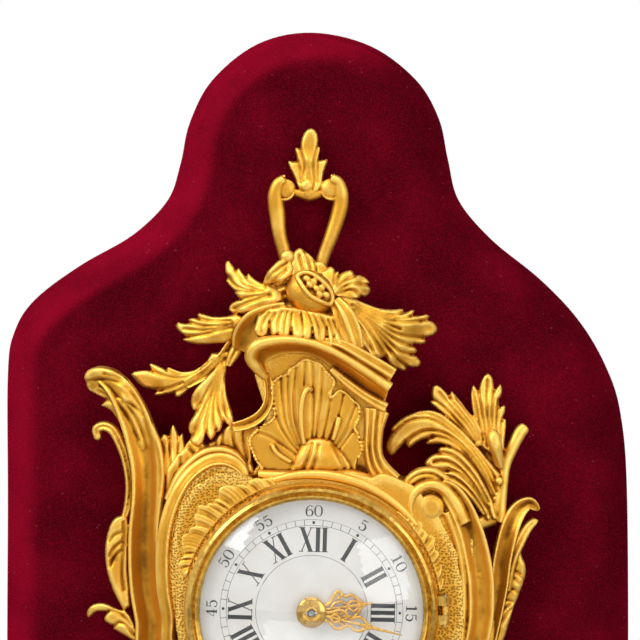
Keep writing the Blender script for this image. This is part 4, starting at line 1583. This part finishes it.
# Depth of the dial's domed face at flat places
def domed(points, lift):
    r2 = np.sum(np.asarray(points)[:, :2] ** 2, axis=1)
    rise = dialSize["top"] - dialSize["edge"]
    sphere = (dialSize["radius"] ** 2 + rise * rise) / (2 * rise)
    return dialSize["top"] - sphere + np.sqrt(sphere * sphere - r2) + lift


def flatMarks(name, polygons):
    verts, faces = [], []
    for polygon in polygons:
        start = len(verts)
        verts.extend(polygon)
        faces.append(tuple(range(start, start + len(polygon))))
    p = np.array(verts, float)
    return newObject(name, toWorld(np.column_stack((p, domed(p, dialSize["raise"])))), faces)


def bar(x0, y0, x1, y1, width, steps=3):
    a, b = np.array((x0, y0)), np.array((x1, y1))
    side = np.array((width / 2, 0.0))
    places = [a + (b - a) * t for t in np.linspace(0, 1, steps + 1)]
    return [[p - side, p + side, q + side, q - side] for p, q in zip(places[:-1], places[1:])]


# Roman numeral standing on zero, with its serifs
def romanShapes(text, size):
    high = size["hourHigh"] - size["hourLow"]
    thick, thin, serif = size["thick"], size["thin"], size["serif"]
    widths = {"I": thick, "V": size["vWide"], "X": size["xWide"]}
    total = sum(widths[c] for c in text) + size["gap"] * (len(text) - 1)
    x, shapes = -total / 2, []
    for c in text:
        w = widths[c]
        if c == "I":
            shapes += bar(x + w / 2, 0, x + w / 2, high, thick)
            feet = [(x - 0.5, x + w + 0.5, 0), (x - 0.5, x + w + 0.5, high)]
        elif c == "V":
            shapes += bar(x + thick / 2, high, x + w * 0.56, 0, thick)
            shapes += bar(x + w - thin, high, x + w * 0.6, 0, thin)
            feet = [(x - 0.4, x + thick + 0.6, high), (x + w - 1.3, x + w + 0.4, high)]
        else:
            shapes += bar(x + thick / 2, high, x + w - thick / 2, 0, thick)
            shapes += bar(x + w - thin * 2, high, x + thin * 2, 0, thin)
            feet = [(x - 0.4, x + thick + 0.5, high), (x + w - 1.6, x + w + 0.3, high),
                    (x - 0.3, x + 1.6, 0), (x + w - thick - 0.5, x + w + 0.4, 0)]
        for a, b, z in feet:
            level = z - serif / 2 if z else serif / 2
            low, top = level - serif / 2, level + serif / 2
            shapes.append([np.array(p) for p in ((a, low), (b, low), (b, top), (a, top))])
        x += w + size["gap"]
    return shapes


def placedRound(shapes, angle, low):
    return [[turned((p[0], p[1] + low), -angle) for p in shape] for shape in shapes]


numerals = ["XII", "I", "II", "III", "IIII", "V", "VI", "VII", "VIII", "IX", "X", "XI"]
hourShapes = []
for i, text in enumerate(numerals):
    hourShapes += placedRound(romanShapes(text, dialSize), 30 * i - dialSize["turn"], dialSize["hourLow"])
finishPiece(flatMarks("hourNumerals", hourShapes), "clock", numeralInk)


def ringShapes(radius, width, count=180):
    rays = [np.array((math.cos(g), math.sin(g))) for g in np.linspace(0, 2 * math.pi, count + 1)]
    inner, outer = radius - width / 2, radius + width / 2
    return [[p * inner, p * outer, q * outer, q * inner] for p, q in zip(rays[:-1], rays[1:])]


trackShapes = []
for radius in (dialSize["trackInner"], dialSize["trackOuter"], dialSize["ringInner"]):
    trackShapes += ringShapes(radius, dialSize["trackLine"])
finishPiece(flatMarks("dialCircles", trackShapes), "clock", numeralInk)


# Repeats a source round a circle, leaving out every skipped place
def ringTree():
    tree = bpy.data.node_groups.new("repeatRound", "GeometryNodeTree")
    sockets = {}
    kinds = {
        "Source": "Object", "Count": "Int", "Radius": "Float", "Skip": "Int", "Shift": "Int",
        "Finish": "Material"}
    for label, kind in kinds.items():
        sockets[label] = tree.interface.new_socket(label, in_out="INPUT", socket_type="NodeSocket" + kind)
    tree.interface.new_socket("Geometry", in_out="OUTPUT", socket_type="NodeSocketGeometry")
    given = tree.nodes.new("NodeGroupInput").outputs
    circle = addNode(tree, "GeometryNodeMeshCircle", {"Vertices": given["Count"], "Radius": given["Radius"]})
    index = tree.nodes.new("GeometryNodeInputIndex").outputs[0]
    moved = addNode(tree, "ShaderNodeMath", {0: index, 1: given["Shift"]}, operation="ADD").outputs[0]
    left = addNode(tree, "ShaderNodeMath", {0: moved, 1: given["Skip"]}, operation="MODULO").outputs[0]
    keep = addNode(
        tree, "FunctionNodeCompare", {0: left, 1: 0.5}, data_type="FLOAT",
        operation="GREATER_THAN").outputs[0]
    place = tree.nodes.new("GeometryNodeInputPosition").outputs[0]
    facing = addNode(tree, "FunctionNodeAlignRotationToVector", {"Vector": place}, axis="X")
    source = addNode(tree, "GeometryNodeObjectInfo", {"Object": given["Source"]}).outputs["Geometry"]
    repeat = addNode(tree, "GeometryNodeInstanceOnPoints", {
        "Points": circle.outputs[0], "Selection": keep, "Instance": source, "Rotation": facing.outputs[0]})
    real = addNode(tree, "GeometryNodeRealizeInstances", {"Geometry": repeat.outputs[0]})
    finish = addNode(
        tree, "GeometryNodeSetMaterial", {"Geometry": real.outputs[0], "Material": given["Finish"]})
    result = tree.nodes.new("NodeGroupOutput")
    tree.links.new(finish.outputs[0], result.inputs[0])
    return tree, {label: socket.identifier for label, socket in sockets.items()}


repeatRound, repeatKeys = ringTree()


def marksRound(name, shape, count, radius, skip, shift):
    source = newObject(name + "Source", [(x, y, 0.0) for x, y in shape], [tuple(range(len(shape)))])
    obj = newObject(name, [(0, 0, 0)], [])
    change = obj.modifiers.new("repeat", "NODES")
    values = {
        "Source": source, "Count": count, "Radius": radius, "Skip": skip, "Shift": shift,
        "Finish": numeralInk}
    change.node_group = repeatRound
    for label, value in values.items():
        change[repeatKeys[label]] = value
    bake(obj)
    bpy.data.objects.remove(source)
    mesh = obj.data
    flat = np.array([v.co[:2] for v in mesh.vertices])
    flat = np.array([turned(p, dialSize["turn"]) for p in flat])
    placed = toWorld(np.column_stack((flat, domed(flat, dialSize["raise"]))))
    mesh.vertices.foreach_set("co", placed.astype(np.float32).ravel())
    mesh.update()
    return finishPiece(obj, "clock", numeralInk)


tickLong = (dialSize["trackOuter"] - dialSize["trackInner"]) / 2
tickWide = dialSize["tick"] / 2
tick = [(-tickLong, -tickWide), (tickLong, -tickWide), (tickLong, tickWide), (-tickLong, tickWide)]
marksRound("minuteTicks", tick, count=60, radius=dialSize["dotAt"], skip=5, shift=0)
turns = np.linspace(0, 2 * math.pi, 16, endpoint=False)
dot = [(dialSize["dot"] * math.cos(a), dialSize["dot"] * math.sin(a)) for a in turns]
marksRound("minuteDots", dot, count=12, radius=dialSize["dotAt"], skip=1000, shift=1)

# Strokes of the digits used, as places across and up with a width, on a cell one high
digitStrokes = {
    "0": [
        [(0.5, 0.0, 0.06), (0.22, 0.08, 0.1), (0.08, 0.3, 0.16), (0.06, 0.5, 0.18), (0.08, 0.7, 0.16),
         (0.22, 0.92, 0.1), (0.5, 1.0, 0.06)],
        [(0.5, 0.0, 0.06), (0.78, 0.08, 0.1), (0.92, 0.3, 0.16), (0.94, 0.5, 0.18), (0.92, 0.7, 0.16),
         (0.78, 0.92, 0.1), (0.5, 1.0, 0.06)]],
    "1": [
        [(0.5, 0.0, 0.2), (0.5, 0.5, 0.2), (0.5, 1.0, 0.2)],
        [(0.16, 0.84, 0.06), (0.34, 0.9, 0.08), (0.5, 0.98, 0.12)], [(0.14, 0.02, 0.06), (0.86, 0.02, 0.06)]],
    "2": [
        [(0.14, 0.72, 0.18), (0.2, 0.92, 0.1), (0.45, 1.0, 0.07), (0.74, 0.92, 0.14), (0.82, 0.72, 0.18),
         (0.66, 0.46, 0.13), (0.3, 0.18, 0.08), (0.1, 0.03, 0.06)],
        [(0.1, 0.05, 0.12), (0.5, 0.05, 0.14), (0.88, 0.08, 0.1), (0.92, 0.24, 0.05)]],
    "3": [
        [(0.14, 0.8, 0.16), (0.24, 0.96, 0.08), (0.48, 1.0, 0.07), (0.74, 0.9, 0.14), (0.76, 0.68, 0.14),
         (0.6, 0.55, 0.08), (0.42, 0.53, 0.06)],
        [(0.42, 0.53, 0.06), (0.72, 0.48, 0.1), (0.88, 0.28, 0.18), (0.74, 0.06, 0.12), (0.45, 0.0, 0.07),
         (0.2, 0.06, 0.09), (0.12, 0.22, 0.16)]],
    "4": [
        [(0.66, 0.0, 0.2), (0.66, 0.5, 0.2), (0.66, 1.0, 0.16)],
        [(0.62, 1.0, 0.06), (0.34, 0.64, 0.06), (0.04, 0.28, 0.06)],
        [(0.04, 0.28, 0.07), (0.5, 0.28, 0.07), (0.96, 0.28, 0.07)], [(0.42, 0.02, 0.06), (0.9, 0.02, 0.06)]],
    "5": [
        [(0.18, 0.95, 0.1), (0.5, 0.93, 0.13), (0.84, 0.97, 0.06)],
        [(0.18, 0.98, 0.06), (0.17, 0.74, 0.06), (0.16, 0.54, 0.06)],
        [(0.16, 0.54, 0.06), (0.36, 0.64, 0.07), (0.66, 0.6, 0.12), (0.86, 0.36, 0.18), (0.74, 0.08, 0.13),
         (0.44, 0.0, 0.07), (0.2, 0.07, 0.1), (0.12, 0.22, 0.15)]],
    "6": [
        [(0.84, 0.86, 0.13), (0.68, 0.97, 0.07), (0.42, 0.94, 0.08), (0.18, 0.72, 0.14), (0.1, 0.4, 0.18),
         (0.2, 0.1, 0.13), (0.5, 0.0, 0.06)],
        [(0.5, 0.0, 0.06), (0.8, 0.1, 0.12), (0.9, 0.32, 0.18), (0.78, 0.54, 0.11), (0.5, 0.6, 0.06),
         (0.24, 0.5, 0.06), (0.14, 0.36, 0.06)]]}


def strokeShapes(rows):
    fine = smoothRows(rows, 8 * len(rows))
    side = sideOf(fine[:, :2]) * fine[:, 2:3] / 2
    a, b = fine[:, :2] + side, fine[:, :2] - side
    return [[a[i], a[i + 1], b[i + 1], b[i]] for i in range(len(fine) - 1)]


def minuteNumerals(size):
    shapes = []
    high, wide, weight = size["minuteHigh"], size["minuteWide"], size["minuteWeight"]
    for i in range(12):
        text = str(5 * i or 60)
        placed = []
        for k, digit in enumerate(text):
            left = (k - len(text) / 2) * wide * size["minutePitch"] + wide * size["minuteShift"]
            for rows in digitStrokes[digit]:
                scaled = [(left + x * wide, (y - 0.5) * high, w * wide * weight) for x, y, w in rows]
                placed += strokeShapes(scaled)
        shapes += placedRound(placed, 30 * i - size["turn"], size["minuteAt"])
    return flatMarks("minuteNumerals", shapes)


finishPiece(minuteNumerals(dialSize), "clock", numeralInk)
print("stage: dial marks made")

# Hands: pierced strokes in a flat plane, as rows of place along, place across and half width
hourHandSize = {
    "angle": 8, "depth": midDepth("hour_hand"), "half": 0.42, "ring": (3.2, 6.2),
    "shaft": [(5.6, 0, 0.7), (9, 0, 0.6), (14, 0, 0.6), (20, 0, 0.7), (26.3, 0, 0.3)],
    "curls": [
        [(5.6, 1.6, 0.7), (8, 2.6, 0.65), (10.4, 5.4, 0.7), (12.2, 7.0, 0.6), (13.2, 5.8, 0.65),
         (12.4, 4.2, 0.6), (11.2, 4.0, 0.45)],
        [(13.2, 5.6, 0.6), (15.4, 4.2, 0.6), (17.4, 4.7, 0.65), (19.4, 3.2, 0.65), (20.6, 1.4, 0.6),
         (22.6, 0.5, 0.5)],
        [(8.2, 0.4, 0.5), (10.2, 2.2, 0.55), (13.0, 2.4, 0.55), (15.4, 0.8, 0.5)],
        [(15.6, 0.5, 0.5), (17.2, 2.1, 0.55), (19.0, 1.5, 0.5), (20.2, 0.3, 0.45)]]}
minuteHandSize = {
    "angle": -14, "depth": midDepth("minute_hand"), "half": 0.42, "ring": (2.15, 5.0),
    "shaft": [(4.6, 0, 0.8), (10, 0, 0.55), (18, 0, 0.6), (26, 0, 0.75), (33, 0, 0.5), (39, 0, 0.25)],
    "curls": [
        [(4.8, 1.3, 0.7), (8, 2.1, 0.6), (11, 3.9, 0.65), (13.6, 3.6, 0.65), (14.6, 2.2, 0.55),
         (13.2, 1.6, 0.45)],
        [(14, 2.6, 0.5), (16.6, 1.5, 0.55), (19, 2.7, 0.6), (21.4, 2.7, 0.6), (23.4, 1.2, 0.6),
         (26, 0.4, 0.5)],
        [(8, 0.3, 0.45), (10, 1.6, 0.5), (12.4, 0.5, 0.45)]]}


# The curls stand on both sides of the shaft
def handParts(size, shoulder=0.6, chamfer=0.4):
    depth, half = size["depth"], size["half"]
    parts = []
    for rows, side in [(size["shaft"], 1)] + [(rows, side) for rows in size["curls"] for side in (1, -1)]:
        placed = []
        for a, c, w in rows:
            p = turned((a, side * c), size["angle"])
            placed.append((p[0], p[1], depth, w, half))
        parts.append(sweep(placed, across=8, count=6 * len(rows), under=1.0))
    inner, outer = size["ring"]
    low, high = depth - half, depth + half
    profile = [
        (inner, low), (outer, low), (outer, depth + half * shoulder), (outer - chamfer, high), (inner, high),
        (inner, low)]
    return parts + [lathe(profile, segments=48)]


castPiece("hourHand", handParts(hourHandSize), ["hour_hand"], voxel=0.16, soften=1, material=handGold,
          body="hour_pipe")
castPiece("minuteHand", handParts(minuteHandSize), ["minute_hand"], voxel=0.16, soften=1, material=handGold,
          body="minute_arbor")

colletSize = {
    "radius": 6.3, "hole": 1.25, "back": backDepth("hand_collet"), "front": frontDepth("hand_collet")}


# From the hole at the back, out and over the front to the hole again
def colletProfile(radius, hole, back, front):
    return [
        (hole, back), (radius, back), (radius, back + 0.4), (radius * 0.9, back + 0.9),
        (radius * 0.66, front - 0.1), (radius * 0.5, front + 0.25), (hole * 1.5, front + 0.3),
        (hole, front - 0.2), (hole, back)]


points, faces = lathe(colletProfile(**colletSize), segments=64)
collet = newObject("collet", toWorld(points), faces)
finishPiece(collet, "minute_arbor", bezelBrass, ["hand_collet"])
print("stage: hands made")

# Finishes for the nodes that stay as they are
finishes = {
    "bezel": bezelBrass, "hinge_leaf": handGold, "sight_ring": bezelBrass, "bezel_glass": glass,
    "dial": enamel, "dial_plate": plainBrass, "backboard": wood, "minute_arbor": darkSteel,
    "hanger_plate": steel, "hanger_screws": steel, "case_screws": steel, "hinge_pin": steel}
sharpFrom = math.radians(32)
steelWords = ("screw", "arbor", "pin", "spring", "click", "anchor", "rod", "ratchet", "nut", "feet")
for name, node in nodes.items():
    material = finishes.get(name)
    if material is None:
        material = steel if any(word in name for word in steelWords) and "pinion" not in name else plainBrass
    node.data.materials.clear()
    node.data.materials.append(material)
for name in ("bezel", "bezel_glass", "dial", "sight_ring", "pendulum_bob"):
    for face in nodes[name].data.polygons:
        face.use_smooth = True
    nodes[name].data.set_sharp_from_angle(angle=sharpFrom)

# Studio: pale floor, soft lights and the camera of the photo
studio = {
    "reach": 0.72, "x": 0.0036, "z": 0.1226, "lens": 91.1, "sensor": 36, "target": (0, -0.03, 0.08),
    "floor": -0.42, "floorHalf": 3, "floorBack": 0.3, "floorColour": (0.86, 0.86, 0.85, 1), "floorRough": 0.8,
    "sky": (0.92, 0.93, 0.95, 1), "skyStrength": 0.34,
    "lamps": {
        "keyLight": ((-1.2, -0.8, 1.05), (0.8, 0.8), 13.5), "fillLight": ((1.0, -1.1, 0.35), (0.7, 0.9), 4.2),
        "topLight": ((0.05, -0.45, 1.1), (0.8, 0.3), 3.4), "lowLight": ((0.0, -0.9, -0.35), (0.9, 0.3), 1.3)}}
floorShader = {"Base Color": studio["floorColour"], "Roughness": studio["floorRough"]}
half, back, level = studio["floorHalf"], studio["floorBack"], studio["floor"]
corners = [(-half, -half, level), (half, -half, level), (half, back, level), (-half, back, level)]
floor = newObject("floor", corners, [(0, 1, 2, 3)])
floor.data.materials.append(blankMaterial("studio_floor", floorShader)[0])


def areaLight(name, place, size, power):
    data = bpy.data.lights.new(name, "AREA")
    data.shape = "RECTANGLE"
    data.size, data.size_y = size
    data.energy = power
    obj = bpy.data.objects.new(name, data)
    scene.collection.objects.link(obj)
    obj.location = place
    obj.rotation_euler = (Vector(studio["target"]) - Vector(place)).to_track_quat("-Z", "Y").to_euler()


for name, lamp in studio["lamps"].items():
    areaLight(name, *lamp)

world = bpy.data.worlds.new("studioWorld")
scene.world = world
world.use_nodes = True
tree = world.node_tree
backdrop = tree.nodes["Background"]
setInputs(backdrop, {"Color": studio["sky"], "Strength": studio["skyStrength"]})
bright = addNode(tree, "ShaderNodeBackground", {"Color": (1, 1, 1, 1), "Strength": 1.0})
ray = tree.nodes.new("ShaderNodeLightPath")
mixer = tree.nodes.new("ShaderNodeMixShader")
shown = calc(tree, "MAXIMUM", ray.outputs["Is Camera Ray"], ray.outputs["Is Glossy Ray"])
shown = calc(tree, "MAXIMUM", shown, ray.outputs["Is Transmission Ray"])
tree.links.new(shown, mixer.inputs[0])
tree.links.new(backdrop.outputs[0], mixer.inputs[1])
tree.links.new(bright.outputs[0], mixer.inputs[2])
tree.links.new(mixer.outputs[0], tree.nodes["World Output"].inputs["Surface"])

cameraData = bpy.data.cameras.new("photoCamera")
cameraData.lens = studio["lens"]
cameraData.sensor_width = studio["sensor"]
camera = bpy.data.objects.new("photoCamera", cameraData)
scene.collection.objects.link(camera)
camera.location = (studio["x"], velvetFront - studio["reach"], studio["z"])
camera.rotation_euler = (math.pi / 2, 0, 0)
scene.camera = camera
scene.view_settings.view_transform = "Standard"
